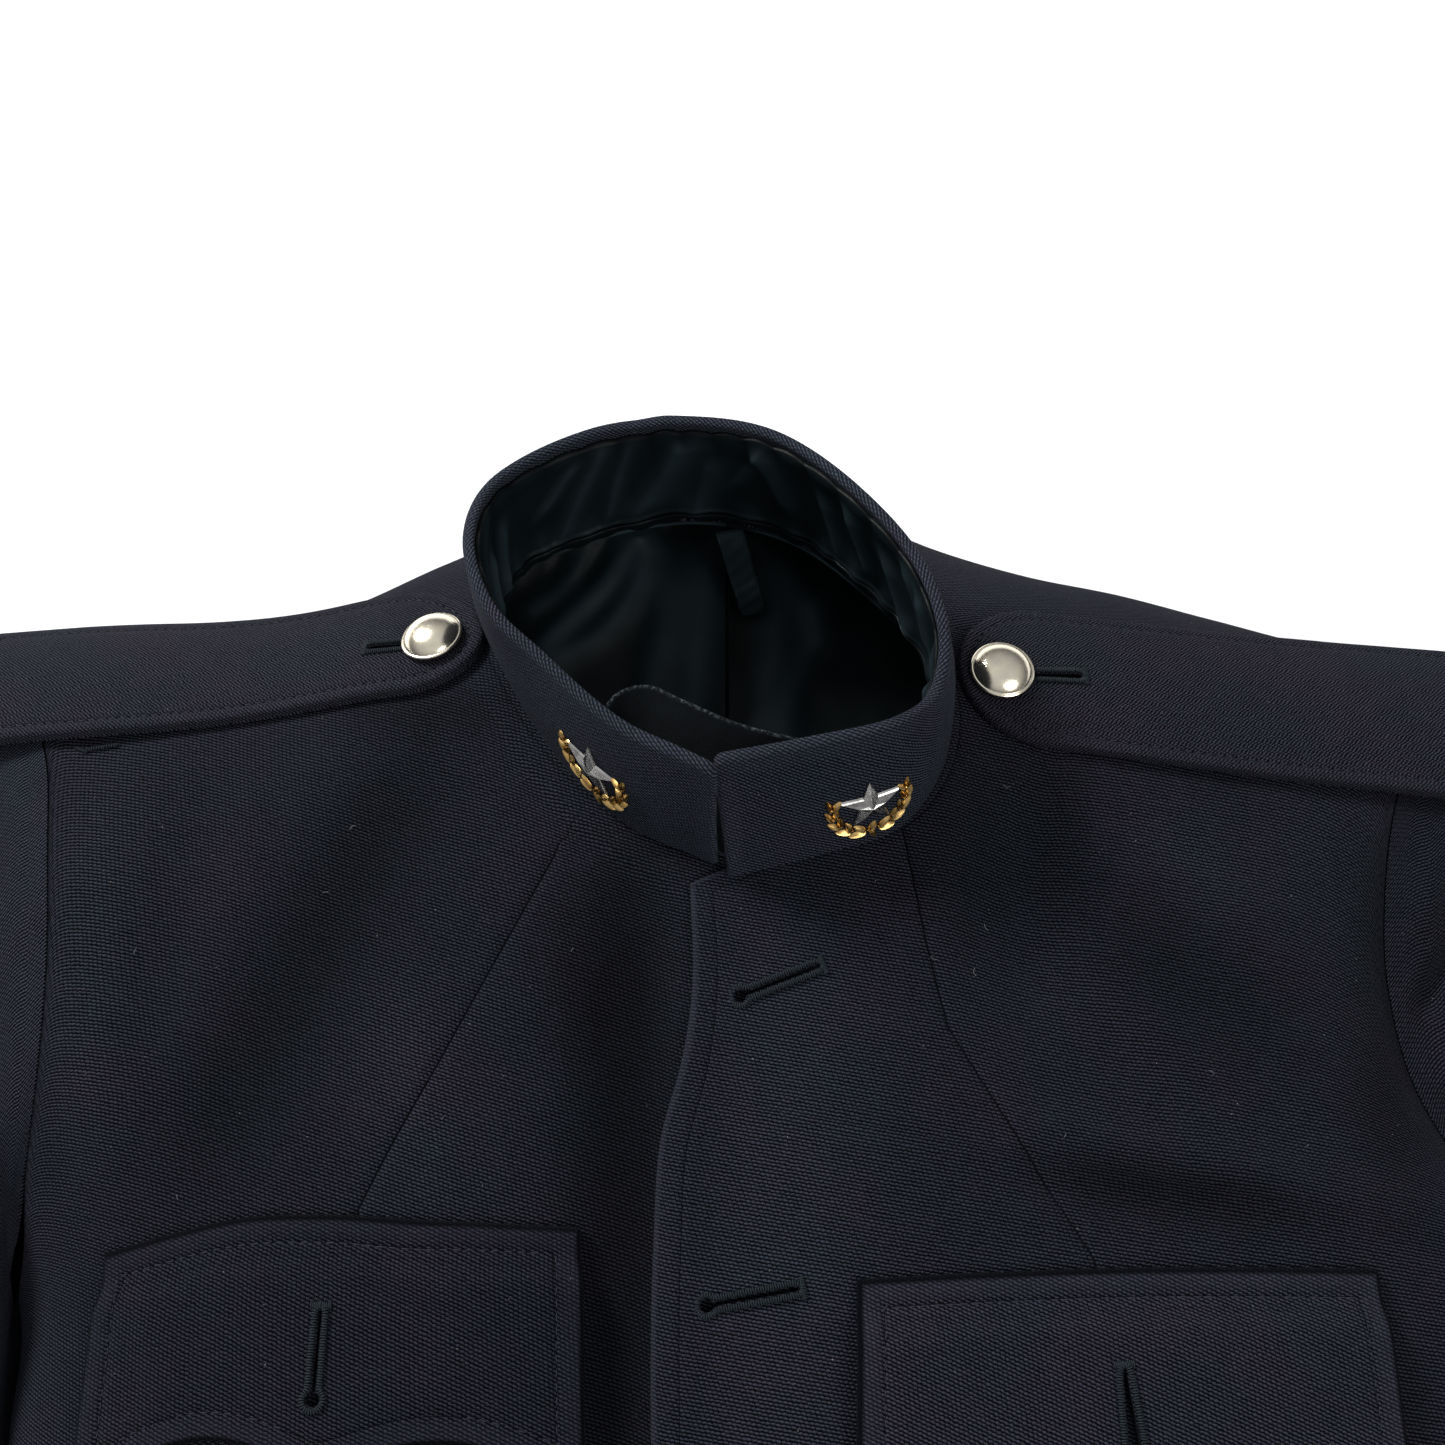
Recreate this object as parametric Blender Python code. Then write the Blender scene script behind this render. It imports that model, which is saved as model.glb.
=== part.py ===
"""Dress uniform jacket laid on its back, each sewn piece a closed solid at its real size.

Metres, +Z up, the surface that the jacket lies on at Z = 0. X = 0 is the centre back, +X is
the wearer's left side, Y = 0 is the chest line through the underarms, and +Y points to the
collar. The back lies flat, the fronts stand over it in the soft crown that the canvas gives
them, and the hooked stand collar holds the neck open.
"""
import math
from collections import namedtuple

import bmesh
import bpy
import numpy as np

CLOTH = 0.0018
LINING = 0.001
SEAM = 0.0003
COLLAR_WALL = 0.003
COLLAR_HEIGHT = 0.042
LINING_DROP = 0.0045
LINING_FOOT = 0.0012
STRAP_WALL = 0.003
FLAP_WALL = 0.0024
POCKET_WALL = 0.0016
POCKET_LIFT = 0.0006
PLEAT_RISE = 0.0014
PLEAT_WIDTH = 0.038
PLEAT_STEP = 0.012
PLEAT_COLUMNS = (0.44, 0.5, 0.56)
POCKET_EDGE_COLUMNS = (0, 0.03, 0.10, 0.20, 0.30)
HEM = -0.500
SLOPE_STEP = 2e-7
SHARE_STEP = 1e-3

WEARER_RIGHT = -1
WEARER_LEFT = 1

# Cross sections of the lying body: how high the fronts stand on the centre line, how wide the
# rounding is at the side folds, and how far each side fold lies from the centre back.
BodySection = namedtuple("BodySection", "y crown rounding right_side left_side")
BODY = [
    BodySection(-0.500, 0.0110, 0.012, 0.2500, 0.2700),
    BodySection(-0.400, 0.0150, 0.022, 0.2380, 0.2560),
    BodySection(-0.300, 0.0230, 0.040, 0.2180, 0.2370),
    BodySection(-0.220, 0.0320, 0.058, 0.2050, 0.2290),
    BodySection(-0.120, 0.0455, 0.080, 0.2000, 0.2340),
    BodySection(-0.040, 0.0565, 0.093, 0.1995, 0.2440),
    BodySection(0.000, 0.0600, 0.095, 0.2035, 0.2510),
    BodySection(0.030, 0.0612, 0.095, 0.2280, 0.2640),
    BodySection(0.070, 0.0625, 0.095, 0.2700, 0.2820),
    BodySection(0.120, 0.0640, 0.095, 0.3000, 0.3000),
    BodySection(0.170, 0.0640, 0.095, 0.3100, 0.3100),
    BodySection(0.210, 0.0590, 0.095, 0.3100, 0.3100),
    BodySection(0.270, 0.0440, 0.095, 0.3100, 0.3100),
]
CROWN_FALL = 0.08
CHEST_HALF = 0.19
FOLD_BASE = 0.0030
FOLD_SHARE = 0.18
CURL_PER_RISE = 1.5

# The shoulder fold, where the back comes over on to the front, and how far its rounding reaches.
ShoulderPoint = namedtuple("ShoulderPoint", "x y reach")
SHOULDER = [
    ShoulderPoint(-0.3000, 0.1930, 0.110),
    ShoulderPoint(-0.2325, 0.2015, 0.110),
    ShoulderPoint(-0.1900, 0.2045, 0.110),
    ShoulderPoint(-0.1600, 0.2075, 0.110),
    ShoulderPoint(-0.1261, 0.2140, 0.108),
    ShoulderPoint(-0.0933, 0.2305, 0.098),
    ShoulderPoint(-0.0500, 0.2500, 0.080),
    ShoulderPoint(0.0000, 0.2600, 0.070),
    ShoulderPoint(0.0400, 0.2510, 0.070),
    ShoulderPoint(0.0700, 0.2360, 0.070),
    ShoulderPoint(0.1000, 0.2255, 0.070),
    ShoulderPoint(0.1300, 0.2185, 0.070),
    ShoulderPoint(0.1600, 0.2095, 0.070),
    ShoulderPoint(0.1950, 0.2000, 0.070),
    ShoulderPoint(0.2265, 0.1985, 0.070),
    ShoulderPoint(0.3000, 0.1880, 0.070),
]

# Collar sections from the wearer's right end round the back to the left end: the foot's place
# and how far the rim leans from it.
CollarSection = namedtuple("CollarSection", "x y lean_x lean_y")
COLLAR = [
    CollarSection(-0.0030, 0.1135, 0.0000, 0.0141),
    CollarSection(-0.0274, 0.1255, -0.0019, 0.0169),
    CollarSection(-0.0477, 0.1452, -0.0027, 0.0158),
    CollarSection(-0.0627, 0.1683, -0.0040, 0.0098),
    CollarSection(-0.0720, 0.1905, -0.0016, 0.0111),
    CollarSection(-0.0692, 0.2163, 0.0004, 0.0098),
    CollarSection(-0.0402, 0.2352, -0.0001, 0.0118),
    CollarSection(-0.0057, 0.2400, -0.0041, 0.0089),
    CollarSection(0.0249, 0.2292, -0.0076, 0.0111),
    CollarSection(0.0460, 0.2084, -0.0062, 0.0081),
    CollarSection(0.0627, 0.1843, -0.0063, 0.0050),
    CollarSection(0.0676, 0.1622, -0.0061, 0.0035),
    CollarSection(0.0644, 0.1436, -0.0067, 0.0056),
    CollarSection(0.0512, 0.1245, -0.0045, 0.0170),
    CollarSection(0.0284, 0.1162, -0.0058, 0.0200),
    CollarSection(0.0030, 0.1098, -0.0040, 0.0225),
]
COLLAR_COLUMNS = 46
COLLAR_CLIMBS = (0.0, 0.3, 0.6, 1 - LINING_DROP / COLLAR_HEIGHT, 1.0)
COLLAR_BOW = 0.0012
NECK_INSET = COLLAR_WALL + LINING + 2 * SEAM

# The neck point on each side, as a share of the way round the collar, and the shoulder seam's
# outer end as a share of the way up the armhole.
NECK_POINT = {WEARER_RIGHT: 0.262, WEARER_LEFT: 0.688}
SEAM_END = 0.86
ARMHOLE_CLIMBS = SEAM_END * np.linspace(0, 1, 15)[1:]

NECK_COLUMNS = (0.34, 0.66)
BACK_SIDE_COLUMNS = np.array([0.0, 0.005, 0.014, 0.030, 0.065, 0.12, 0.18, 0.235, 0.27, 0.305])
LINING_COLUMNS = slice(8, -8)
UNDERARM_RISE = 0.6
SIDE_ROWS = np.linspace(0, 1, 11)
BACK_RISES = (*UNDERARM_RISE * SIDE_ROWS, 0.66, 0.72, 0.78, 0.84, 0.89, 0.93, 0.962, 0.984, 0.996)
BACK_TURNS = (0.02, 0.09, 0.22, 0.42, 0.68, 1.0)
LINING_FROM = 12

FRONT_EDGE = {
    WEARER_RIGHT: [
        (0.0180, -0.500), (0.0180, -0.300), (0.0180, -0.100), (0.0180, 0.000), (0.0190, 0.060),
        (0.0180, 0.1110),
    ],
    WEARER_LEFT: [
        (-0.0150, -0.500), (-0.0155, -0.350), (-0.0165, -0.200), (-0.0175, -0.060),
        (-0.0178, 0.0100), (-0.0162, 0.0379), (-0.0108, 0.0591), (-0.0082, 0.0795),
        (-0.0092, 0.1079),
    ],
}
EDGE_SPLIT = 0.82
EDGE_TOP_ROWS = np.linspace(0.25, 1, 4)
NECK_ROWS = np.linspace(0.06, 1, 9)
FRONT_FOLD_COLUMNS = np.array([1.0, 0.68, 0.42, 0.22, 0.10, 0.03, 0.0])
OVERLAP_START = (-0.0260, -0.0130)
OVERLAP_END = (0.040, 0.085)
UNDERARM = {WEARER_RIGHT: -0.006, WEARER_LEFT: -0.002}
SHOULDER_END = {WEARER_RIGHT: 0.2325, WEARER_LEFT: 0.2265}

# Armhole seams from the underarm up to the shoulder fold, distances from the centre back.
FRONT_ARMHOLE = {
    WEARER_RIGHT: [
        (0.1955, 0.0060), (0.1924, 0.0309), (0.1893, 0.0573), (0.1901, 0.0917), (0.1946, 0.1203),
        (0.2034, 0.1529), (0.2165, 0.1740), (0.2270, 0.1900),
    ],
    WEARER_LEFT: [
        (0.2240, 0.0110), (0.2030, 0.0300), (0.1906, 0.0520), (0.1865, 0.0790), (0.1896, 0.1080),
        (0.1975, 0.1370), (0.2100, 0.1620), (0.2210, 0.1850),
    ],
}
BACK_ARMHOLE = {
    WEARER_RIGHT: [
        (0.1960, 0.0080), (0.1930, 0.0300), (0.1930, 0.0700), (0.1960, 0.1100), (0.2060, 0.1500),
        (0.2190, 0.1830),
    ],
    WEARER_LEFT: [
        (0.2240, 0.0100), (0.2080, 0.0300), (0.1990, 0.0600), (0.1990, 0.1000), (0.2050, 0.1400),
        (0.2150, 0.1750),
    ],
}

# Sleeve sections from the armhole to the cuff: where the edge next to the body and the outer
# edge lie, the height between them, how much of the shape of the armhole is left, and the share
# of the width over which the outer edge rounds away.
SleeveSection = namedtuple("SleeveSection", "inner_x inner_y outer_x outer_y height armhole slope")
SLEEVE = {
    WEARER_RIGHT: [
        SleeveSection(0.2130, -0.010, 0.2450, 0.1985, 0.0500, 0.62, 0.52),
        SleeveSection(0.2160, -0.028, 0.2640, 0.1935, 0.0480, 0.25, 0.48),
        SleeveSection(0.2200, -0.062, 0.2930, 0.1770, 0.0440, 0.00, 0.40),
        SleeveSection(0.2240, -0.105, 0.3280, 0.1380, 0.0400, 0.00, 0.32),
        SleeveSection(0.2310, -0.145, 0.3600, 0.0760, 0.0360, 0.00, 0.28),
        SleeveSection(0.2390, -0.190, 0.3820, 0.0030, 0.0320, 0.00, 0.26),
        SleeveSection(0.2480, -0.240, 0.3960, -0.0750, 0.0290, 0.00, 0.24),
        SleeveSection(0.2560, -0.292, 0.4020, -0.1530, 0.0260, 0.00, 0.22),
        SleeveSection(0.2600, -0.345, 0.3990, -0.2310, 0.0230, 0.00, 0.20),
        SleeveSection(0.2610, -0.388, 0.3920, -0.3050, 0.0200, 0.00, 0.18),
        SleeveSection(0.2610, -0.410, 0.3870, -0.3660, 0.0180, 0.00, 0.18),
    ],
    WEARER_LEFT: [
        SleeveSection(0.2620, -0.003, 0.2440, 0.1955, 0.0520, 0.62, 0.38),
        SleeveSection(0.2650, -0.018, 0.2700, 0.1890, 0.0500, 0.25, 0.36),
        SleeveSection(0.2680, -0.050, 0.3100, 0.1680, 0.0460, 0.00, 0.32),
        SleeveSection(0.2710, -0.090, 0.3520, 0.1280, 0.0420, 0.00, 0.30),
        SleeveSection(0.2760, -0.140, 0.3900, 0.0680, 0.0380, 0.00, 0.28),
        SleeveSection(0.2830, -0.182, 0.4180, -0.0020, 0.0340, 0.00, 0.26),
        SleeveSection(0.2910, -0.232, 0.4350, -0.0780, 0.0310, 0.00, 0.24),
        SleeveSection(0.2970, -0.286, 0.4410, -0.1560, 0.0280, 0.00, 0.22),
        SleeveSection(0.2995, -0.340, 0.4390, -0.2340, 0.0240, 0.00, 0.20),
        SleeveSection(0.2990, -0.378, 0.4310, -0.3030, 0.0210, 0.00, 0.18),
        SleeveSection(0.2985, -0.398, 0.4250, -0.3540, 0.0190, 0.00, 0.18),
    ],
}
INNER_SLOPE = 0.22
ARMHOLE_GAP = 0.0005
UNDER_GAP = 0.0015
UNDERARM_CLEARANCE = 0.0070
UNDERARM_REACH = 0.045
CROTCH_START = 0.0045

# Shoulder straps from the buttoned end to the sleeve: the edge next to the fold and the edge
# next to the chest.
StrapSection = namedtuple("StrapSection", "x upper_y lower_y")
STRAP = {
    WEARER_RIGHT: [
        StrapSection(0.0715, 0.2010, 0.1680),
        StrapSection(0.1000, 0.2060, 0.1660),
        StrapSection(0.1500, 0.2020, 0.1590),
        StrapSection(0.1950, 0.1995, 0.1545),
        StrapSection(0.2320, 0.1980, 0.1520),
    ],
    WEARER_LEFT: [
        StrapSection(0.0700, 0.1960, 0.1520),
        StrapSection(0.1000, 0.1945, 0.1480),
        StrapSection(0.1400, 0.1915, 0.1425),
        StrapSection(0.1800, 0.1895, 0.1375),
        StrapSection(0.2200, 0.1870, 0.1335),
    ],
}
STRAP_TIP_SHARE = 0.15
STRAP_LIFT = 0.0008
STRAP_END_LIFT = 0.0020
STRAP_END_RISE = (0.15, 0.21)
STRAP_CROWDING = 1.3
STRAP_EDGES = (0.06, 0.94)
BUTTON_RADIUS = 0.0095
BUTTON_RIM = 0.0018
BUTTON_DOME = 0.0040
BUTTON_FACETS = 24
# Share of the radius and height of the button's back and edge, below its dome.
BUTTON_SKIRT = [(0.62, 0.0), (0.95, 0.0006), (1.0, 0.0011), (0.97, BUTTON_RIM)]
BUTTON_PLACE = {WEARER_RIGHT: (0.0868, 0.1838), WEARER_LEFT: (0.0822, 0.1710)}

# Breast pockets: the foot's two ends and how far down it lies.
PocketFoot = namedtuple("PocketFoot", "inner outer y")
POCKET_FOOT = {
    WEARER_RIGHT: PocketFoot(0.0400, 0.1650, -0.140),
    WEARER_LEFT: PocketFoot(0.0370, 0.1780, -0.150),
}
POCKET_TOP = 0.020
POCKET_INSET = 0.003

# The upper edge of each pocket flap, from the front edge outwards.
FLAP_TOP = {
    WEARER_RIGHT: [
        (0.0383, 0.0159), (0.0719, 0.0172), (0.1039, 0.0190), (0.1266, 0.0183), (0.1469, 0.0143),
        (0.1656, 0.0097),
    ],
    WEARER_LEFT: [(0.0350, 0.0028), (0.0700, 0.0045), (0.1042, 0.0056), (0.1732, 0.0056)],
}
FLAP_FALLS = (0, 0.12, 0.34, 0.67, 1)
FLAP_COVERS = (0.35, 0.80)
FLAP_POINT = 0.062
FLAP_ARC = 0.0535
FLAP_OVERHANG = 0.002
POCKET_CORNER = 0.022

# The stiff underlap behind the collar's opening, from the wearer's left to its rounded end.
TabSection = namedtuple("TabSection", "low_x low_y low_z top_x top_y top_z")
TAB = [
    TabSection(0.0340, 0.1252, 0.0720, 0.0330, 0.1420, 0.0850),
    TabSection(0.0210, 0.1217, 0.0710, 0.0214, 0.1430, 0.0880),
    TabSection(0.0050, 0.1200, 0.0710, 0.0030, 0.1480, 0.0890),
    TabSection(-0.0120, 0.1290, 0.0715, -0.0120, 0.1545, 0.0890),
    TabSection(-0.0230, 0.1375, 0.0730, -0.0230, 0.1590, 0.0880),
    TabSection(-0.0300, 0.1430, 0.0755, -0.0295, 0.1570, 0.0868),
    TabSection(-0.0335, 0.1475, 0.0790, -0.0330, 0.1520, 0.0848),
]
TAB_WALL = 0.002

LOOP_WIDTH = 0.009
LOOP_WALL = 0.0012
LOOP_SHARE = 0.5315
LOOP_RUN = (0.0085, -0.0150)
LOOP_SAG = 0.002
LOOP_ROOT = (0.0, 0.0006, 0.0018)
LOOP_TIP = 0.0026

BADGE_SHARE = {WEARER_RIGHT: 0.092, WEARER_LEFT: 0.898}
BADGE_RADIUS = 0.0106
BADGE_HEIGHT = 0.40
BADGE_STEP = 0.004
STAR_RADIUS = 0.0070
STAR_WAIST = 0.42
STAR_EDGE = 0.0006
STAR_CREST = 0.0018
LEAF_COUNT = 7
LEAF_TURN = math.radians(118)
LEAF_OUTWARD = 0.0016
LEAF_INWARD = 0.0014
LEAF_STEM = 0.3
WREATH_TAPER = 0.35
WREATH_EDGE = 0.0007
WREATH_CREST = 0.0008

NAVY = (0.010, 0.011, 0.020)
SATIN = (0.006, 0.010, 0.010)
FELT = (0.014, 0.014, 0.018)
NICKEL = (0.62, 0.60, 0.56)
GILT = (0.75, 0.52, 0.22)


def smooth_curve(points):
    """Return a function from 0..1 to a point on the smooth curve through the given points."""
    knots = np.asarray(points, dtype=float)
    steps = np.linalg.norm(np.diff(knots, axis=0), axis=1)
    reach = np.concatenate([[0.0], np.cumsum(steps)]) / steps.sum()
    return lambda share: table_curve(reach, knots)(np.asarray(share, dtype=float))


def table_curve(keys, values):
    """Return a smooth function through the rows of a table, flat beyond its ends."""
    keys = np.asarray(keys, dtype=float)
    values = np.asarray(values, dtype=float)
    gap = np.diff(keys)
    rise = np.diff(values, axis=0) / gap.reshape((-1,) + (1,) * (values.ndim - 1))
    before = gap[:-1].reshape((-1,) + (1,) * (values.ndim - 1))
    after = gap[1:].reshape((-1,) + (1,) * (values.ndim - 1))
    slope = np.empty_like(values)
    slope[1:-1] = (rise[:-1] * after + rise[1:] * before) / (before + after)
    slope[0] = rise[0]
    slope[-1] = rise[-1]

    def at(key):
        key = np.clip(np.asarray(key, dtype=float), keys[0], keys[-1])
        index = np.clip(np.searchsorted(keys, key, side="right") - 1, 0, len(gap) - 1)
        width = gap[index]
        share = (key - keys[index]) / width
        if values.ndim > 1:
            width = width[..., None]
            share = share[..., None]
        start = values[index] * (2 * share ** 3 - 3 * share ** 2 + 1)
        end = values[index + 1] * (3 * share ** 2 - 2 * share ** 3)
        leave = slope[index] * width * (share ** 3 - 2 * share ** 2 + share)
        arrive = slope[index + 1] * width * (share ** 3 - share ** 2)
        return start + end + leave + arrive

    return at


def smooth_step(value, low, high):
    """Rise smoothly from 0 at low to 1 at high."""
    share = np.clip((np.asarray(value, dtype=float) - low) / (high - low), 0.0, 1.0)
    return share * share * (3 - 2 * share)


def rounded(share):
    """Quarter of an ellipse: upright at 0, level at 1."""
    share = np.clip(share, 0.0, 1.0)
    return np.sqrt(1 - (1 - share) ** 2)


crown_at = table_curve([s.y for s in BODY], [s.crown for s in BODY])
rounding_at = table_curve([s.y for s in BODY], [s.rounding for s in BODY])
right_side_at = table_curve([s.y for s in BODY], [s.right_side for s in BODY])
left_side_at = table_curve([s.y for s in BODY], [s.left_side for s in BODY])
shoulder_at = table_curve([s.x for s in SHOULDER], [s.y for s in SHOULDER])
reach_at = table_curve([s.x for s in SHOULDER], [s.reach for s in SHOULDER])


def side_at(side, y):
    """Distance of the side fold from the centre back."""
    return left_side_at(y) if side == WEARER_LEFT else right_side_at(y)


def fold_height(y):
    """Height of the side and shoulder folds, between the layers."""
    return FOLD_BASE + crown_at(y) * FOLD_SHARE


def front_height(x, y):
    """Height of the outer face of the upper layer."""
    side = np.where(x > 0, left_side_at(y), right_side_at(y)) - np.abs(x)
    crown = crown_at(y) * (1 - CROWN_FALL * np.minimum(np.abs(x) / CHEST_HALF, 1) ** 2)
    fold = fold_height(y)
    across = rounded(side / rounding_at(y))
    along = rounded((shoulder_at(x) - y) / reach_at(x))
    return fold + SEAM / 2 + (crown - fold) * across * along


def back_height(x, y):
    """Height of the outer face of the layer that rests, curled up at its edges."""
    side = np.where(x > 0, left_side_at(y), right_side_at(y)) - np.abs(x)
    fold = fold_height(y)
    curl = fold * CURL_PER_RISE
    level = rounded(side / curl) * rounded((shoulder_at(x) - y) / curl)
    return (fold - SEAM / 2) * (1 - level)


def lay(height, plan, depth, upward=True):
    """Put plan points on a height field, moved inwards along its normal by depth."""
    plan = np.asarray(plan, dtype=float)
    x, y = plan[..., 0], plan[..., 1]
    z = height(x, y)
    slope_x = (height(x + SLOPE_STEP, y) - height(x - SLOPE_STEP, y)) / (2 * SLOPE_STEP)
    slope_y = (height(x, y + SLOPE_STEP) - height(x, y - SLOPE_STEP)) / (2 * SLOPE_STEP)
    normal = np.stack([-slope_x, -slope_y, np.ones_like(z)], axis=-1)
    if not upward:
        normal = -normal
    normal /= np.linalg.norm(normal, axis=-1, keepdims=True)
    return np.stack([x, y, z], axis=-1) - normal * np.asarray(depth)[..., None]


def material(name, colour, roughness, metallic=0.0):
    """A Principled material with the piece's own colour."""
    made = bpy.data.materials.new(name)
    made.use_nodes = True
    shader = made.node_tree.nodes["Principled BSDF"]
    shader.inputs["Base Color"].default_value = (*colour, 1.0)
    shader.inputs["Roughness"].default_value = roughness
    shader.inputs["Metallic"].default_value = metallic
    return made


def add_object(name, mesh, finish):
    """Link a mesh as a named object with its own material."""
    mesh.materials.append(finish)
    made = bpy.data.objects.new(name, mesh)
    bpy.context.collection.objects.link(made)
    return made


def wall_solid(name, outer, inner, finish, ring=False):
    """Close two matching grids of points into one wall; a ring joins its last column to its first."""
    rows, columns = outer.shape[:2]
    mesh = bpy.data.meshes.new(name)
    shape = bmesh.new()
    skins = []
    for grid in (outer, inner):
        skins.append([[shape.verts.new(point) for point in row] for row in grid])
    spans = columns if ring else columns - 1
    for row in range(rows - 1):
        for column in range(spans):
            after = (column + 1) % columns
            for skin, turn in zip(skins, (1, -1)):
                a, b = skin[row][column], skin[row][after]
                c, d = skin[row + 1][after], skin[row + 1][column]
                shape.faces.new((a, b, c)[::turn])
                shape.faces.new((a, c, d)[::turn])
    for row in (0, rows - 1):
        for column in range(spans):
            after = (column + 1) % columns
            shape.faces.new([skins[0][row][column], skins[0][row][after], skins[1][row][after],
                             skins[1][row][column]])
    if not ring:
        for column in (0, columns - 1):
            for row in range(rows - 1):
                shape.faces.new([skins[0][row][column], skins[0][row + 1][column],
                                 skins[1][row + 1][column], skins[1][row][column]])
    bmesh.ops.recalc_face_normals(shape, faces=shape.faces)
    shape.to_mesh(mesh)
    shape.free()
    mesh.shade_smooth()
    mesh.set_sharp_from_angle(angle=math.radians(40))
    return add_object(name, mesh, finish)


def side_name(piece, side):
    return f"{piece}_{'left' if side == WEARER_LEFT else 'right'}"


def mirrored(side, points):
    """Turn distances from the centre back into X on one side."""
    return np.asarray(points, dtype=float) * (side, 1)


collar_steps = [math.hypot(b.x - a.x, b.y - a.y) for a, b in zip(COLLAR, COLLAR[1:])]
collar_length = sum(collar_steps)
collar_keys = np.concatenate([[0.0], np.cumsum(collar_steps)]) / collar_length
collar_foot = table_curve(collar_keys, [(s.x, s.y) for s in COLLAR])
lean_at = table_curve(collar_keys, [(s.lean_x, s.lean_y) for s in COLLAR])


def collar_place(share, inset):
    """Plan point of the collar's foot, moved in towards the neck, and the inward direction."""
    share = np.asarray(share, dtype=float)
    ahead, behind = np.clip(share + SHARE_STEP, 0, 1), np.clip(share - SHARE_STEP, 0, 1)
    along = collar_foot(ahead) - collar_foot(behind)
    along /= np.linalg.norm(along, axis=-1, keepdims=True)
    inward = np.stack([along[..., 1], -along[..., 0]], axis=-1)
    return collar_foot(share) + inward * inset, inward


def overlap_lift(x):
    """How far the left front stands up to lie over the edge of the right front."""
    return (CLOTH + SEAM) * (1 - smooth_step(x, *OVERLAP_END))


def left_front_height(x, y):
    return front_height(x, y) + overlap_lift(x)


def panel_height(side):
    """The height field of one front."""
    return left_front_height if side == WEARER_LEFT else front_height


def dressed_height(x, y):
    """Top of whichever front lies under the collar's foot."""
    lift = overlap_lift(x) * smooth_step(x, *OVERLAP_START)
    return front_height(x, y) + lift


def front_armhole(side):
    """The front armhole seam from the underarm to the shoulder fold."""
    start = (side_at(side, UNDERARM[side]), UNDERARM[side])
    end = (SHOULDER_END[side], shoulder_at(side * SHOULDER_END[side]))
    return smooth_curve(mirrored(side, [start, *FRONT_ARMHOLE[side], end]))


def back_armhole(side):
    """The back armhole seam from the underarm to the shoulder fold."""
    start = (side_at(side, UNDERARM[side]), UNDERARM[side])
    end = (SHOULDER_END[side], shoulder_at(side * SHOULDER_END[side]))
    return smooth_curve(mirrored(side, [start, *BACK_ARMHOLE[side], end]))


def neck_curve(shares):
    """Plan points of the neckline, just inside the foot of the collar."""
    return collar_place(shares, NECK_INSET)[0]


def front_rows(side):
    """Matching points up the front edge and neckline, and up the side and armhole."""
    lower_y = HEM + (UNDERARM[side] - HEM) * SIDE_ROWS
    edge = smooth_curve(FRONT_EDGE[side])
    start = 0.0 if side == WEARER_RIGHT else 1.0
    neck = neck_curve(start + (NECK_POINT[side] - start) * NECK_ROWS)
    corner = np.asarray(FRONT_EDGE[side][-1])
    inner = np.concatenate([
        edge(SIDE_ROWS * EDGE_SPLIT),
        edge(EDGE_SPLIT + (1 - EDGE_SPLIT) * EDGE_TOP_ROWS),
        ((corner + neck[0]) / 2)[None],
        neck,
    ])
    armhole = front_armhole(side)
    sides = np.stack([side * side_at(side, lower_y), lower_y], axis=-1)
    return inner, np.concatenate([sides, armhole(ARMHOLE_CLIMBS)])


def make_front(side):
    """One forepart, from its front edge and neckline to the side seam and armhole."""
    inner, outer = front_rows(side)
    height = panel_height(side)
    plan = []
    for start, end in zip(inner, outer):
        width = np.linalg.norm(end - start)
        edge = float(rounding_at(end[1])) / width
        shares = np.concatenate([
            np.linspace(0, 1 - edge, 11)[:-1],
            1 - edge * FRONT_FOLD_COLUMNS,
        ])
        plan.append(start + (end - start) * shares[:, None])
    plan = np.array(plan)
    plan[-1, :, 1] -= SEAM
    outer_face = lay(height, plan, np.zeros(plan.shape[:2]))
    inner_face = lay(height, plan, np.full(plan.shape[:2], CLOTH))
    finish = material(side_name("front_cloth", side), NAVY, 0.9)
    return wall_solid(side_name("front", side), outer_face, inner_face, finish)


def back_columns():
    """Shares across the back, close together at the curled side edges and round the neck."""
    neck = np.linspace(*NECK_COLUMNS, 13)
    return np.concatenate([BACK_SIDE_COLUMNS, neck, 1 - BACK_SIDE_COLUMNS[::-1]])


def back_edge(side, rise):
    """Side seam and back armhole as one line from the hem to the shoulder fold."""
    rise = np.asarray(rise, dtype=float)
    y = HEM + (UNDERARM[side] - HEM) * np.clip(rise / UNDERARM_RISE, 0, 1)
    seam = np.stack([side * side_at(side, y), y], axis=-1)
    climb = (rise - UNDERARM_RISE) / (1 - UNDERARM_RISE)
    return np.where((climb > 0)[..., None], back_armhole(side)(np.clip(climb, 0, 1)), seam)


def shoulder_fold_point(share):
    x = -SHOULDER_END[WEARER_RIGHT] + share * (SHOULDER_END[WEARER_RIGHT] + SHOULDER_END[WEARER_LEFT])
    return np.stack([x, shoulder_at(x)], axis=-1)


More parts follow.
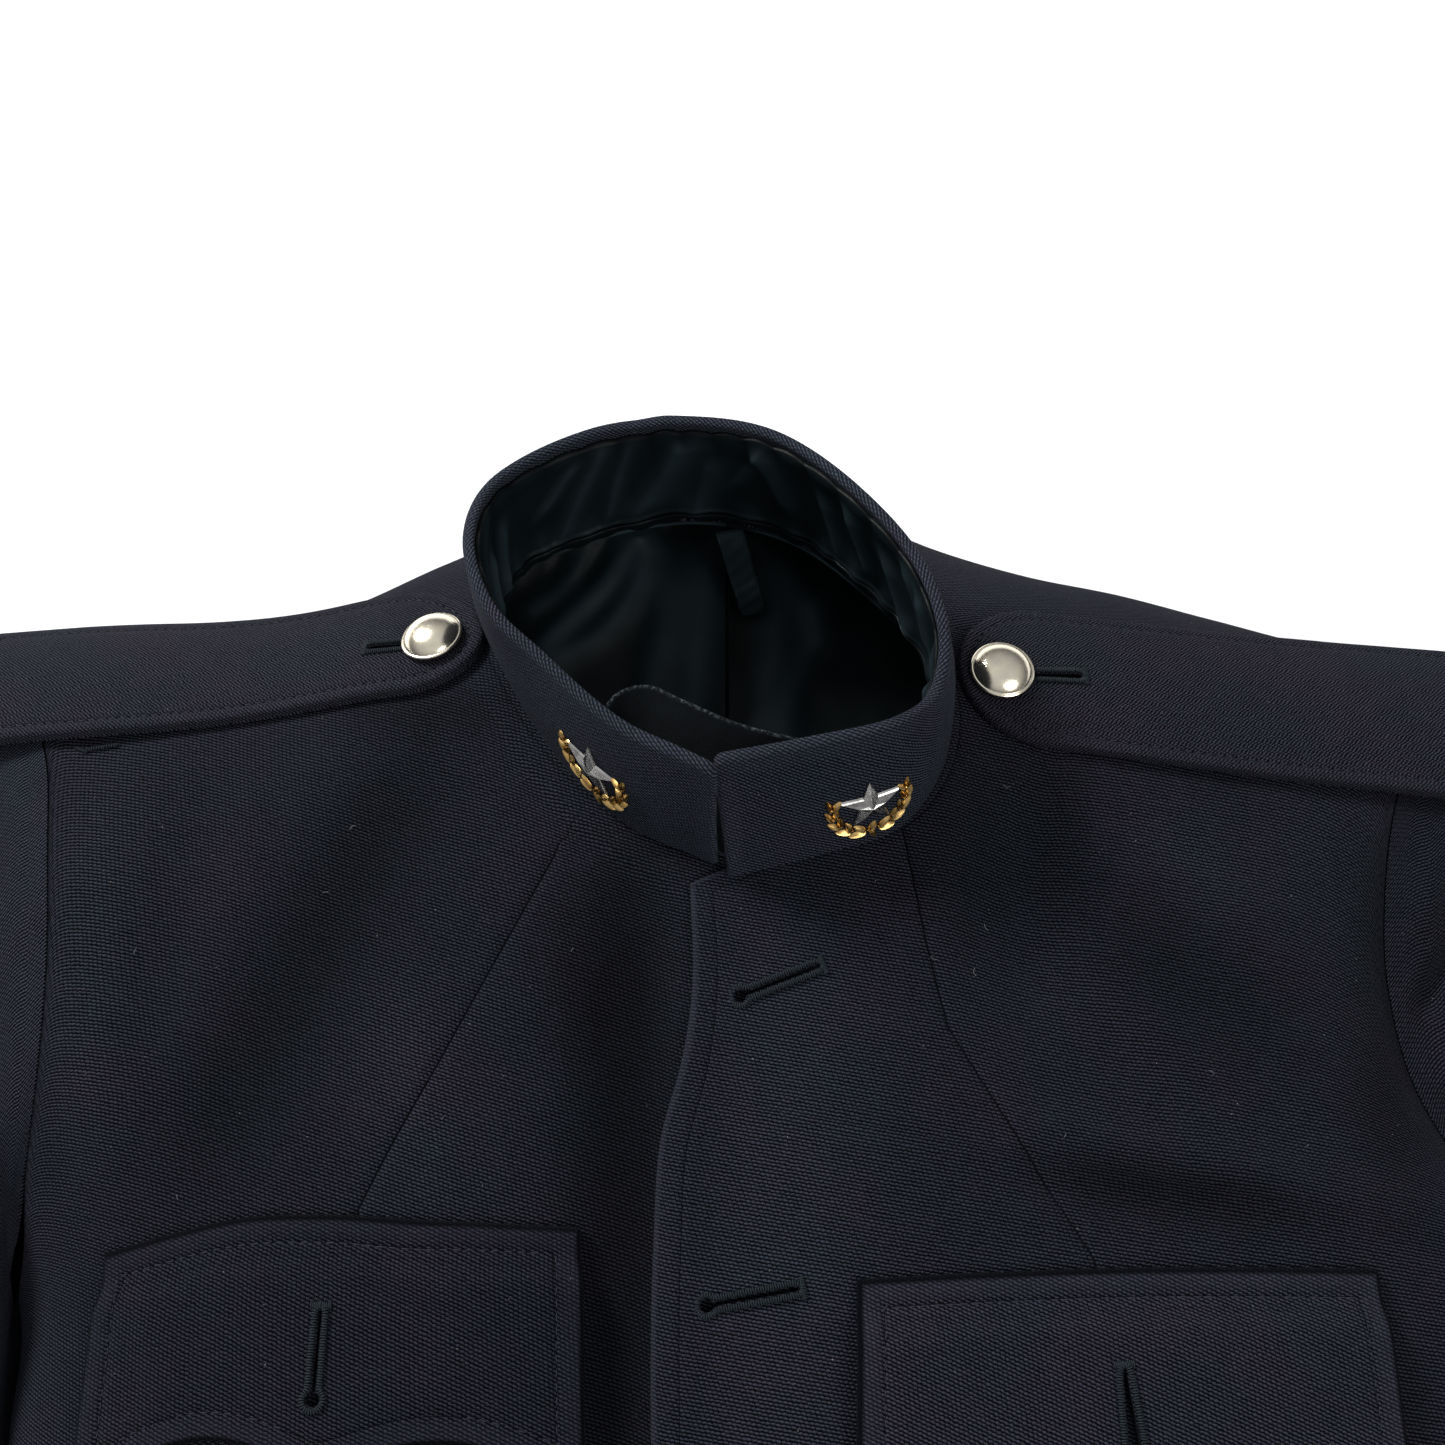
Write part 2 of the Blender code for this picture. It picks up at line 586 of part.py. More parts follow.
def back_plan(shares, rises):
    """Plan points of the back from hem to shoulder fold, blended from its four edges."""
    share, rise = np.meshgrid(shares, rises)
    share, rise = share[..., None], rise[..., None]
    left, right = back_edge(WEARER_RIGHT, rise[..., 0]), back_edge(WEARER_LEFT, rise[..., 0])
    hem_ends = back_edge(WEARER_RIGHT, np.zeros(1))[0], back_edge(WEARER_LEFT, np.zeros(1))[0]
    hem = hem_ends[0] + (hem_ends[1] - hem_ends[0]) * share
    fold = shoulder_fold_point(share[..., 0])
    corners = (shoulder_fold_point(np.zeros(1))[0], shoulder_fold_point(np.ones(1))[0])
    low = hem_ends[0] * (1 - share) + hem_ends[1] * share
    high = corners[0] * (1 - share) + corners[1] * share
    return ((1 - share) * left + share * right + (1 - rise) * hem + rise * fold
            - (1 - rise) * low - rise * high)


def back_top(share):
    """The back's upper edge: right shoulder seam, back of the neck, left shoulder seam."""
    low, high = NECK_COLUMNS
    if share < low:
        end = front_armhole(WEARER_RIGHT)(SEAM_END)
        neck = neck_curve(NECK_POINT[WEARER_RIGHT])
        return end + (neck - end) * share / low
    if share > high:
        end = front_armhole(WEARER_LEFT)(SEAM_END)
        neck = neck_curve(NECK_POINT[WEARER_LEFT])
        return neck + (end - neck) * (share - high) / (1 - high)
    way = (share - low) / (high - low)
    start, end = NECK_POINT[WEARER_RIGHT], NECK_POINT[WEARER_LEFT]
    return neck_curve(start + (end - start) * way)


def back_faces(shares, rises, turns, depth):
    """Points of the back at a depth inside its outer face, under the body and over the fold."""
    below = back_plan(shares, rises)
    low = lay(back_height, below, np.full(below.shape[:2], depth), upward=False)
    fold = shoulder_fold_point(shares)
    top = np.array([back_top(share) for share in shares])
    strip = fold + (top - fold) * np.asarray(turns)[:, None, None]
    high = lay(front_height, strip, np.full(strip.shape[:2], depth))
    return np.concatenate([low, high])


def make_back():
    """The back, flat where it rests, and turned over the shoulders to their seams."""
    shares = back_columns()
    outer = back_faces(shares, BACK_RISES, BACK_TURNS, 0.0)
    inner = back_faces(shares, BACK_RISES, BACK_TURNS, CLOTH)
    return wall_solid("back", outer, inner, material("back_cloth", NAVY, 0.9))


def sleeve_ring(side, section, over, under):
    """One ring round the sleeve: over the top from the inner to the outer edge, and back below."""
    inner = np.array([side * section.inner_x, section.inner_y])
    outer = np.array([side * section.outer_x, section.outer_y])
    width = np.linalg.norm(outer - inner)
    fold = FOLD_BASE + section.height * FOLD_SHARE
    keep = section.armhole
    shares = (1 - np.cos(np.pi * np.linspace(0, 1, len(over)))) / 2
    lens = rounded(shares / INNER_SLOPE) * rounded((1 - shares) / section.slope)
    top = np.column_stack([inner + (outer - inner) * shares[:, None],
                           fold + (section.height - fold) * lens])
    shares = (1 - np.cos(np.pi * np.linspace(0, 1, len(under) + 2)[-2:0:-1])) / 2
    curl = fold * CURL_PER_RISE / width
    level = rounded(shares / curl) * rounded((1 - shares) / curl)
    foot = np.column_stack([inner + (outer - inner) * shares[:, None], fold * (1 - level)])
    return np.concatenate([over * keep + top * (1 - keep),
                           under[::-1] * keep + foot * (1 - keep)])


def armhole_loop(side, depth):
    """The armhole's edge at a depth in the cloth: up the front to the fold, then up the back."""
    climbs = np.concatenate([[0.0], ARMHOLE_CLIMBS])
    front = front_armhole(side)(climbs)
    fold = front_armhole(side)(1.0)
    turns = np.array(BACK_TURNS[-2:0:-1])[:, None]
    over = np.concatenate([front, fold + (front[-1] - fold) * turns, fold[None]])
    rises = np.array(BACK_RISES)
    foot_climbs = (rises[rises > UNDERARM_RISE] - UNDERARM_RISE) / (1 - UNDERARM_RISE)
    under = back_armhole(side)(foot_climbs[:-1])
    loops = []
    for plan, height, upward, gap in ((over, front_height, True, ARMHOLE_GAP),
                                      (under, back_height, False, UNDER_GAP)):
        points = lay(height, plan, np.full(len(plan), depth), upward)
        along = np.gradient(plan, axis=0)
        away = np.column_stack([along[:, 1], -along[:, 0]]) * side
        away /= np.linalg.norm(away, axis=1, keepdims=True)
        near = 1 - smooth_step(plan[:, 1], UNDERARM[side], UNDERARM[side] + UNDERARM_REACH)
        points[:, :2] += away * (gap + UNDERARM_CLEARANCE * near[:, None])
        loops.append(points)
    return loops


def make_sleeve(side):
    """One sleeve as a flattened tube, from just off the armhole seam to the open cuff."""
    over, under = armhole_loop(side, 0.0)
    seam_over, seam_under = armhole_loop(side, CLOTH)
    rings = [np.concatenate([over, under[::-1]])]
    rings += [sleeve_ring(side, section, over, under) for section in SLEEVE[side]]
    outer = np.array(rings)
    around = np.roll(outer, -1, axis=1) - np.roll(outer, 1, axis=1)
    along = np.gradient(outer, axis=0)
    normal = np.cross(along, around) * side
    normal /= np.linalg.norm(normal, axis=-1, keepdims=True)
    inner = outer - normal * CLOTH
    seam_normal = (rings[0] - np.concatenate([seam_over, seam_under[::-1]])) / CLOTH
    rise = rings[0][:, 1] - UNDERARM[side]
    crotch = 1 - smooth_step(rise, CROTCH_START, UNDERARM_REACH)[:, None]
    blend = seam_normal * (1 - crotch) + normal[0] * crotch
    blend /= np.linalg.norm(blend, axis=-1, keepdims=True)
    inner[0] = rings[0] - blend * CLOTH
    finish = material(side_name("sleeve_cloth", side), NAVY, 0.9)
    return wall_solid(side_name("sleeve", side), outer, inner, finish, ring=True)


def collar_points(shares, climbs, inset, foot_gap=SEAM):
    """Points of the standing collar at shares round it and up it, moved in by inset."""
    foot, inward = collar_place(shares, inset)
    outside = collar_place(shares, 0.0)[0]
    lean = lean_at(shares)
    rise = np.sqrt(COLLAR_HEIGHT ** 2 - (lean ** 2).sum(axis=-1))
    rim_z = dressed_height(outside[..., 0], outside[..., 1]) + SEAM + rise
    foot_z = dressed_height(foot[..., 0], foot[..., 1]) + foot_gap
    rows = []
    for climb in climbs:
        bow = COLLAR_BOW * math.sin(math.pi * climb)
        plan = foot + lean * climb - inward * bow
        rows.append(np.column_stack([plan, foot_z + (rim_z - foot_z) * climb]))
    return np.array(rows)


def make_collar():
    """The stand collar, one stiff band round the neck whose ends meet at the front."""
    shares = np.linspace(0, 1, COLLAR_COLUMNS)
    outer = collar_points(shares, COLLAR_CLIMBS, 0.0)
    inner = collar_points(shares, COLLAR_CLIMBS, COLLAR_WALL)
    return wall_solid("collar", outer, inner, material("collar_cloth", NAVY, 0.9))


def make_collar_lining():
    """Satin that covers the inside of the collar, sewn in just below its rim."""
    shares = np.linspace(0, 1, COLLAR_COLUMNS)[1:-1]
    climbs = (LINING_FOOT / COLLAR_HEIGHT, *COLLAR_CLIMBS[1:-1])
    outer = collar_points(shares, climbs, COLLAR_WALL + SEAM)
    inner = collar_points(shares, climbs, COLLAR_WALL + SEAM + LINING)
    return wall_solid("collar_lining", outer, inner, material("collar_satin", SATIN, 0.35))


def make_back_lining():
    """Satin inside the back, as far down as the neck opening lets it be seen."""
    shares = back_columns()[LINING_COLUMNS]
    rises = BACK_RISES[LINING_FROM:]
    outer = back_faces(shares, rises, BACK_TURNS, CLOTH + SEAM)
    inner = back_faces(shares, rises, BACK_TURNS, CLOTH + SEAM + LINING)
    return wall_solid("back_lining", outer, inner, material("back_satin", SATIN, 0.35))


def make_collar_tab():
    """The felt-faced underlap behind the collar's opening, with a rounded free end."""
    low = smooth_curve([(s.low_x, s.low_y, s.low_z) for s in TAB])
    top = smooth_curve([(s.top_x, s.top_y, s.top_z) for s in TAB])
    shares = np.linspace(0, 1, 19)
    outer = np.array([low(shares) + (top(shares) - low(shares)) * climb
                      for climb in np.linspace(0, 1, 4)])
    along = np.gradient(outer, axis=1)
    up = np.gradient(outer, axis=0)
    normal = np.cross(along, up)
    normal /= np.linalg.norm(normal, axis=-1, keepdims=True)
    inner = outer + normal * TAB_WALL * np.sign(normal[..., 1:2])
    return wall_solid("collar_tab", outer, inner, material("tab_felt", FELT, 0.95))


def strap_plan(side, shares, widths):
    """Plan points of a shoulder strap, with its buttoned end rounded."""
    table = STRAP[side]
    upper = smooth_curve(mirrored(side, [(s.x, s.upper_y) for s in table]))
    lower = smooth_curve(mirrored(side, [(s.x, s.lower_y) for s in table]))
    rows = []
    for width in widths:
        bulge = rounded(1 - abs(2 * width - 1))
        back_off = STRAP_TIP_SHARE * (1 - bulge)
        way = back_off + (1 - back_off) * shares
        rows.append(lower(way) * (1 - width) + upper(way) * width)
    return np.array(rows)


def make_strap(side):
    """One shoulder strap, rounded at the collar and sewn into the sleeve's seam."""
    shares = np.linspace(0, 1, 14) ** STRAP_CROWDING
    widths = (1 - np.cos(np.pi * np.linspace(*STRAP_EDGES, 8))) / 2
    plan = strap_plan(side, shares, widths)
    lift = STRAP_LIFT + STRAP_END_LIFT * smooth_step(np.abs(plan[..., 0]), *STRAP_END_RISE)
    lower = lay(front_height, plan, -lift)
    upper = lay(front_height, plan, -lift - STRAP_WALL)
    finish = material(side_name("strap_cloth", side), NAVY, 0.9)
    return wall_solid(side_name("shoulder_strap", side), upper, lower, finish)


def make_button(side):
    """A plain domed metal button on the strap's rounded end."""
    x, y = BUTTON_PLACE[side]
    place = np.array([[side * x, y]])
    base = lay(front_height, place, np.zeros(1))[0]
    seat = lay(front_height, place, np.array([-STRAP_LIFT - STRAP_WALL - SEAM]))[0]
    axis = (seat - base) / np.linalg.norm(seat - base)
    across = np.cross(axis, (0.0, 1.0, 0.0))
    across /= np.linalg.norm(across)
    around = np.cross(axis, across)
    profile = [*BUTTON_SKIRT]
    profile += [(math.cos(turn), BUTTON_RIM + BUTTON_DOME * math.sin(turn))
                for turn in np.radians([18, 36, 54, 72])]
    count = BUTTON_FACETS
    name = side_name("strap_button", side)
    shape = bmesh.new()
    rings = []
    for radius, height in profile:
        ring = []
        for index in range(count):
            turn = 2 * math.pi * index / count
            reach = across * math.cos(turn) + around * math.sin(turn)
            ring.append(shape.verts.new(seat + axis * height + reach * radius * BUTTON_RADIUS))
        rings.append(ring)
    for low, high in zip(rings, rings[1:]):
        for index in range(count):
            after = (index + 1) % count
            shape.faces.new([low[index], low[after], high[after], high[index]])
    shape.faces.new(rings[0][::-1])
    top = shape.verts.new(seat + axis * (BUTTON_RIM + BUTTON_DOME))
    for index in range(count):
        shape.faces.new([rings[-1][index], rings[-1][(index + 1) % count], top])
    bmesh.ops.recalc_face_normals(shape, faces=shape.faces)
    mesh = bpy.data.meshes.new(name)
    shape.to_mesh(mesh)
    shape.free()
    mesh.shade_smooth()
    mesh.set_sharp_from_angle(angle=math.radians(50))
    return add_object(name, mesh, material(side_name("button_nickel", side), NICKEL, 0.12, 1.0))


def make_pocket(side):
    """A patch pocket with rounded lower corners and a box pleat down its middle."""
    foot = POCKET_FOOT[side]
    top_inner = np.array(FLAP_TOP[side][0]) + (POCKET_INSET, -POCKET_TOP)
    top_outer = np.array(FLAP_TOP[side][-1]) - (POCKET_INSET, POCKET_TOP)
    foot_inner = np.array([foot.inner, foot.y])
    foot_outer = np.array([foot.outer, foot.y])
    width = foot.outer - foot.inner
    half = PLEAT_WIDTH / width / 2
    edge = np.array([*POCKET_EDGE_COLUMNS, 0.5 - half - PLEAT_STEP, 0.5 - half])
    shares = np.concatenate([edge, PLEAT_COLUMNS, 1 - edge[::-1]])
    corner = POCKET_CORNER / width
    cut = POCKET_CORNER * (1 - rounded(np.minimum(shares, 1 - shares) / corner))
    pleat = np.where(np.abs(shares - 0.5) < half + PLEAT_STEP / 2, PLEAT_RISE, 0.0)
    rows = []
    for fall in np.linspace(0, 1, 7):
        inner = top_inner + (foot_inner - top_inner) * fall
        outer = top_outer + (foot_outer - top_outer) * fall
        row = inner + (outer - inner) * shares[:, None]
        row[:, 1] += cut * fall ** 3
        rows.append(row * (side, 1))
    plan = np.array(rows)
    height = panel_height(side)
    lift = np.full(plan.shape[:2], POCKET_LIFT)
    lower = lay(height, plan, -lift)
    upper = lay(height, plan, -lift - POCKET_WALL - pleat[None, :])
    finish = material(side_name("pocket_cloth", side), NAVY, 0.9)
    return wall_solid(side_name("pocket", side), upper, lower, finish)


def make_flap(side):
    """The pocket's flap, pointed at its corners and middle with two shallow arcs between."""
    shares = np.linspace(0, 1, 17)
    hang = FLAP_ARC + (FLAP_POINT - FLAP_ARC) * (1 - np.abs(np.sin(2 * np.pi * shares)))
    top = smooth_curve(FLAP_TOP[side])(shares)
    rows = []
    for fall in FLAP_FALLS:
        row = top - np.column_stack([np.zeros_like(hang), hang]) * fall
        row[:, 0] += FLAP_OVERHANG * (2 * shares - 1) * fall
        rows.append(row * (side, 1))
    plan = np.array(rows)
    height = panel_height(side)
    fallen = (top[:, 1] - plan[..., 1]) / POCKET_TOP
    covered = smooth_step(fallen, *FLAP_COVERS)
    lift = POCKET_LIFT + (POCKET_WALL + PLEAT_RISE + SEAM) * covered
    lower = lay(height, plan, -lift)
    upper = lay(height, plan, -lift - FLAP_WALL)
    finish = material(side_name("flap_cloth", side), NAVY, 0.9)
    return wall_solid(side_name("pocket_flap", side), upper, lower, finish)


def make_hanger_loop():
    """A folded satin ribbon from the back of the neck, lying down on the back lining."""
    depth = CLOTH + LINING + 2 * SEAM
    root = back_faces(np.array([LOOP_SHARE]), BACK_RISES[-1:], BACK_TURNS, depth)[-1, 0]
    root -= LOOP_ROOT
    tip = np.array([root[0] + LOOP_RUN[0], root[1] + LOOP_RUN[1], depth + LOOP_TIP])
    shares = np.linspace(0, 1, 9)[:, None]
    spine = root + (tip - root) * shares - np.array([0, 0, LOOP_SAG]) * np.sin(np.pi * shares)
    along = (tip - root) / np.linalg.norm(tip - root)
    across = np.array([1.0, 0.0, 0.0]) - along * along[0]
    across *= LOOP_WIDTH / 2 / np.linalg.norm(across)
    down = np.cross(across, along)
    down *= -np.sign(down[2]) * LOOP_WALL / np.linalg.norm(down)
    outer = np.array([spine - across, spine + across])
    inner = outer + down
    return wall_solid("hanger_loop", outer, inner, material("loop_satin", SATIN, 0.4))


def badge_frame(side):
    """Centre, right, up and outward directions of the collar's face at a badge."""
    share = BADGE_SHARE[side]
    shares = np.array([share - BADGE_STEP, share, share + BADGE_STEP])
    climbs = [BADGE_HEIGHT - BADGE_STEP, BADGE_HEIGHT, BADGE_HEIGHT + BADGE_STEP]
    face = collar_points(shares, climbs, 0.0)
    along = face[1, 2] - face[1, 0]
    along /= np.linalg.norm(along)
    up = face[2, 1] - face[0, 1]
    up -= along * (up @ along)
    up /= np.linalg.norm(up)
    out = np.cross(along, up)
    if out[1] > 0:
        out = -out
    return face[1, 1], along, up, out


def collar_surface(side, right, up, lift):
    """A point on the collar's face at distances from the badge's centre."""
    share = BADGE_SHARE[side] + right / collar_length
    climb = BADGE_HEIGHT + up / COLLAR_HEIGHT
    point = collar_points(np.array([share]), [climb], 0.0)[0, 0]
    return point + badge_frame(side)[3] * lift


def badge_solid(name, side, outline, finish):
    """A low boss on the collar's face from a flat outline, raised to a crest at its centre."""
    shape = bmesh.new()
    foot = [shape.verts.new(collar_surface(side, *point, SEAM)) for point in outline]
    edge = [shape.verts.new(collar_surface(side, *point, SEAM + STAR_EDGE)) for point in outline]
    top = shape.verts.new(collar_surface(side, 0.0, 0.0, SEAM + STAR_CREST))
    base = shape.verts.new(collar_surface(side, 0.0, 0.0, SEAM))
    count = len(outline)
    for index in range(count):
        after = (index + 1) % count
        shape.faces.new([foot[index], foot[after], edge[after], edge[index]])
        shape.faces.new([edge[index], edge[after], top])
        shape.faces.new([foot[after], foot[index], base])
    bmesh.ops.recalc_face_normals(shape, faces=shape.faces)
    mesh = bpy.data.meshes.new(name)
    shape.to_mesh(mesh)
    shape.free()
    return add_object(name, mesh, finish)


def make_star(side):
    """A small five-pointed silver star on the collar."""
    outline = []
    for index in range(10):
        turn = math.pi / 2 + math.pi * index / 5
        radius = STAR_RADIUS * (1.0 if index % 2 == 0 else STAR_WAIST)
        outline.append((radius * math.cos(turn), radius * math.sin(turn)))
    finish = material(side_name("star_silver", side), NICKEL, 0.2, 1.0)
    return badge_solid(side_name("collar_star", side), side, outline, finish)


def make_wreath(side):
    """A gilt spray of leaves that cups the star from below, as one band with leaf tips."""
    outer, inner = [], []
    steps = LEAF_COUNT * 4
    for index in range(steps + 1):
        share = index / steps
        turn = -math.pi / 2 + LEAF_TURN * (2 * share - 1)
        tooth = LEAF_STEM + abs(math.sin(math.pi * LEAF_COUNT * share))
        taper = WREATH_TAPER + (1 - WREATH_TAPER) * math.sin(math.pi * share)
        reach = BADGE_RADIUS + LEAF_OUTWARD * taper * tooth
        core = BADGE_RADIUS - LEAF_INWARD * taper * tooth
        outer.append((reach * math.cos(turn), reach * math.sin(turn)))
        inner.append((core * math.cos(turn), core * math.sin(turn)))
    name = side_name("collar_wreath", side)
    skins = []
    for lift, crest in ((SEAM, 0.0), (SEAM + WREATH_EDGE, WREATH_CREST)):
        rows = []
        for weight in (0.0, 0.5, 1.0):
            rows.append([collar_surface(side, o[0] + (i[0] - o[0]) * weight,
                                        o[1] + (i[1] - o[1]) * weight,
                                        lift + crest * (1 - abs(2 * weight - 1)))
                         for o, i in zip(outer, inner)])
        skins.append(np.array(rows))
    finish = material(side_name("wreath_gilt", side), GILT, 0.25, 1.0)
    return wall_solid(name, skins[1], skins[0], finish)


for old in list(bpy.data.objects):
    bpy.data.objects.remove(old, do_unlink=True)

make_back()
make_collar()
make_collar_lining()
make_back_lining()
make_collar_tab()
make_hanger_loop()
for wearer_side in (WEARER_RIGHT, WEARER_LEFT):
    make_front(wearer_side)
    make_sleeve(wearer_side)
    make_strap(wearer_side)
    make_button(wearer_side)
    make_pocket(wearer_side)
    make_flap(wearer_side)
    make_star(wearer_side)
    make_wreath(wearer_side)
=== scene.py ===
import math

import bmesh
import bpy
import numpy as np
from mathutils import Matrix, Vector
from mathutils.bvhtree import BVHTree


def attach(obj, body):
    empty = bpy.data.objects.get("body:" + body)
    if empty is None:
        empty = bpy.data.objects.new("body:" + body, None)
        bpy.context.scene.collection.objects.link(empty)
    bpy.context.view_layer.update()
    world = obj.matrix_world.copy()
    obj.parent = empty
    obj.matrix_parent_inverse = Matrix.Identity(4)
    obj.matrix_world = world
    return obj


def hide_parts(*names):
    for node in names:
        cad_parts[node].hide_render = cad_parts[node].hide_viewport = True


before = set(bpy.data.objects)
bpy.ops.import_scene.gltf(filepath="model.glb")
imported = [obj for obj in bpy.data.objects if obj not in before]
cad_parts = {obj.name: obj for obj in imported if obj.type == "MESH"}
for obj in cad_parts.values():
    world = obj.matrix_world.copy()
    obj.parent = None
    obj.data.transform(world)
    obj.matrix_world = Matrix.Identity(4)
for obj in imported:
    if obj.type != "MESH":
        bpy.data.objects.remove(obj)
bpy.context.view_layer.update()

# The back: navy wool barathea, flat on the surface it lies on and turned over the shoulders to
# seams behind the straps. The tables below are the lying body's cross sections, the shoulder
# fold, the neckline and the armholes, which the other pieces are cut to as well.
CLOTH = 0.0018
SEAM = 0.0003
HEM = -0.500
RIGHT, LEFT = -1, 1
WEARER = {RIGHT: "right", LEFT: "left"}

# y, crown, rounding, right side, left side
BODY = np.array([
    (-0.500, 0.0110, 0.012, 0.2500, 0.2700), (-0.400, 0.0150, 0.022, 0.2380, 0.2560),
    (-0.300, 0.0230, 0.040, 0.2180, 0.2370), (-0.220, 0.0320, 0.058, 0.2050, 0.2290),
    (-0.120, 0.0455, 0.080, 0.2000, 0.2340), (-0.040, 0.0565, 0.093, 0.1995, 0.2440),
    (0.000, 0.0600, 0.095, 0.2035, 0.2510), (0.030, 0.0612, 0.095, 0.2280, 0.2640),
    (0.070, 0.0625, 0.095, 0.2700, 0.2820), (0.120, 0.0640, 0.095, 0.3000, 0.3000),
    (0.170, 0.0640, 0.095, 0.3100, 0.3100), (0.210, 0.0590, 0.095, 0.3100, 0.3100),
    (0.270, 0.0440, 0.095, 0.3100, 0.3100),
])
# x, y, reach
SHOULDER = np.array([
    (-0.3000, 0.1930, 0.110), (-0.2325, 0.2015, 0.110), (-0.1900, 0.2045, 0.110),
    (-0.1600, 0.2075, 0.110), (-0.1261, 0.2140, 0.108), (-0.0933, 0.2305, 0.098),
    (-0.0500, 0.2500, 0.080), (0.0000, 0.2600, 0.070), (0.0400, 0.2510, 0.070),
    (0.0700, 0.2360, 0.070), (0.1000, 0.2255, 0.070), (0.1300, 0.2185, 0.070),
    (0.1600, 0.2095, 0.070), (0.1950, 0.2000, 0.070), (0.2265, 0.1985, 0.070),
    (0.3000, 0.1880, 0.070),
])
# Folds of the lying cloth: from x, y to x, y, half width, height
CREASES = [
    (-0.078, 0.158, -0.146, 0.018, 0.0150, -0.0036), (-0.190, 0.140, -0.170, 0.030, 0.0140, 0.0034),
    (-0.150, 0.150, -0.158, 0.060, 0.0100, -0.0016), (-0.027, 0.106, -0.026, -0.130, 0.0170, -0.0068),
    (-0.030, 0.112, -0.010, 0.074, 0.0075, -0.0026), (-0.009, 0.116, -0.016, -0.080, 0.0060, 0.0024),
    (0.078, 0.041, 0.196, 0.018, 0.0085, 0.0036), (0.074, 0.028, 0.150, 0.019, 0.0070, -0.0030),
    (0.064, 0.146, 0.061, 0.082, 0.0090, 0.0028), (0.090, 0.140, 0.086, 0.070, 0.0100, -0.0024),
    (0.140, 0.110, 0.170, 0.050, 0.0160, 0.0022), (-0.100, 0.060, -0.060, -0.010, 0.0140, 0.0026),
    (0.120, 0.080, 0.175, 0.072, 0.0110, -0.0010), (-0.170, 0.075, -0.110, 0.030, 0.0120, 0.0010),
    (-0.150, -0.045, -0.060, -0.125, 0.0200, 0.0016), (0.070, -0.050, 0.180, -0.110, 0.0180, 0.0014),
    (-0.120, -0.160, -0.040, -0.250, 0.0250, -0.0014), (0.060, -0.170, 0.150, -0.280, 0.0250, -0.0014),
]


def table_curve(keys, values):
    """Return a smooth function through the rows of a table, flat beyond its ends."""
    keys, values = np.asarray(keys, dtype=float), np.asarray(values, dtype=float)
    tall = (-1,) + (1,) * (values.ndim - 1)
    gap = np.diff(keys).reshape(tall)
    rise = np.diff(values, axis=0) / gap
    slope = np.empty_like(values)
    slope[1:-1] = (rise[:-1] * gap[1:] + rise[1:] * gap[:-1]) / (gap[:-1] + gap[1:])
    slope[0], slope[-1] = rise[0], rise[-1]
    steps = np.diff(keys)

    def at(key):
        key = np.clip(np.asarray(key, dtype=float), keys[0], keys[-1])
        index = np.clip(np.searchsorted(keys, key, side="right") - 1, 0, len(steps) - 1)
        width = steps[index]
        share = (key - keys[index]) / width
        if values.ndim > 1:
            width, share = width[..., None], share[..., None]
        start = values[index] * (2 * share ** 3 - 3 * share ** 2 + 1)
        end = values[index + 1] * (3 * share ** 2 - 2 * share ** 3)
        leave = slope[index] * width * (share ** 3 - 2 * share ** 2 + share)
        arrive = slope[index + 1] * width * (share ** 3 - share ** 2)
        return start + end + leave + arrive

    return at


def smooth_curve(points):
    """Return a function from 0..1 to a point on the smooth curve through the given points."""
    knots = np.asarray(points, dtype=float)
    steps = np.linalg.norm(np.diff(knots, axis=0), axis=1)
    return table_curve(np.concatenate([[0.0], np.cumsum(steps)]) / steps.sum(), knots)


def smooth_step(value, low, high):
    share = np.clip((np.asarray(value, dtype=float) - low) / (high - low), 0.0, 1.0)
    return share * share * (3 - 2 * share)


def unit(vectors):
    return vectors / np.linalg.norm(vectors, axis=-1, keepdims=True)


def rounded(share):
    """Quarter of an ellipse: upright at 0, level at 1."""
    return np.sqrt(1 - (1 - np.clip(share, 0.0, 1.0)) ** 2)


crown_at = table_curve(BODY[:, 0], BODY[:, 1])
rounding_at = table_curve(BODY[:, 0], BODY[:, 2])
side_fold = {RIGHT: table_curve(BODY[:, 0], BODY[:, 3]), LEFT: table_curve(BODY[:, 0], BODY[:, 4])}
shoulder_at = table_curve(SHOULDER[:, 0], SHOULDER[:, 1])
reach_at = table_curve(SHOULDER[:, 0], SHOULDER[:, 2])


def fold_height(y):
    return 0.0030 + crown_at(y) * 0.18


def side_distance(x, y):
    return np.where(x > 0, side_fold[LEFT](y), side_fold[RIGHT](y)) - np.abs(x)


def folds(x, y, table):
    """Soft ridges and valleys, each a smooth wave across a line that dies away at its ends."""
    total = np.zeros(np.broadcast(x, y).shape)
    for x0, y0, x1, y1, width, height in table:
        length = math.hypot(x1 - x0, y1 - y0)
        along = ((x - x0) * (x1 - x0) + (y - y0) * (y1 - y0)) / length ** 2
        across = ((x - x0) * (y1 - y0) - (y - y0) * (x1 - x0)) / length
        ends = smooth_step(along, -0.15, 0.3) * (1 - smooth_step(along, 0.7, 1.15))
        total = total + height * ends * np.exp(-(across / width) ** 2)
    return total


def front_height(x, y):
    """Height of the outer face of the upper layer."""
    crown = crown_at(y) * (1 - 0.08 * np.minimum(np.abs(x) / 0.19, 1) ** 2)
    fold = fold_height(y)
    across = rounded(side_distance(x, y) / rounding_at(y))
    along = rounded((shoulder_at(x) - y) / reach_at(x))
    return fold + SEAM / 2 + (crown - fold) * across * along + folds(x, y, CREASES) * (across * along) ** 2


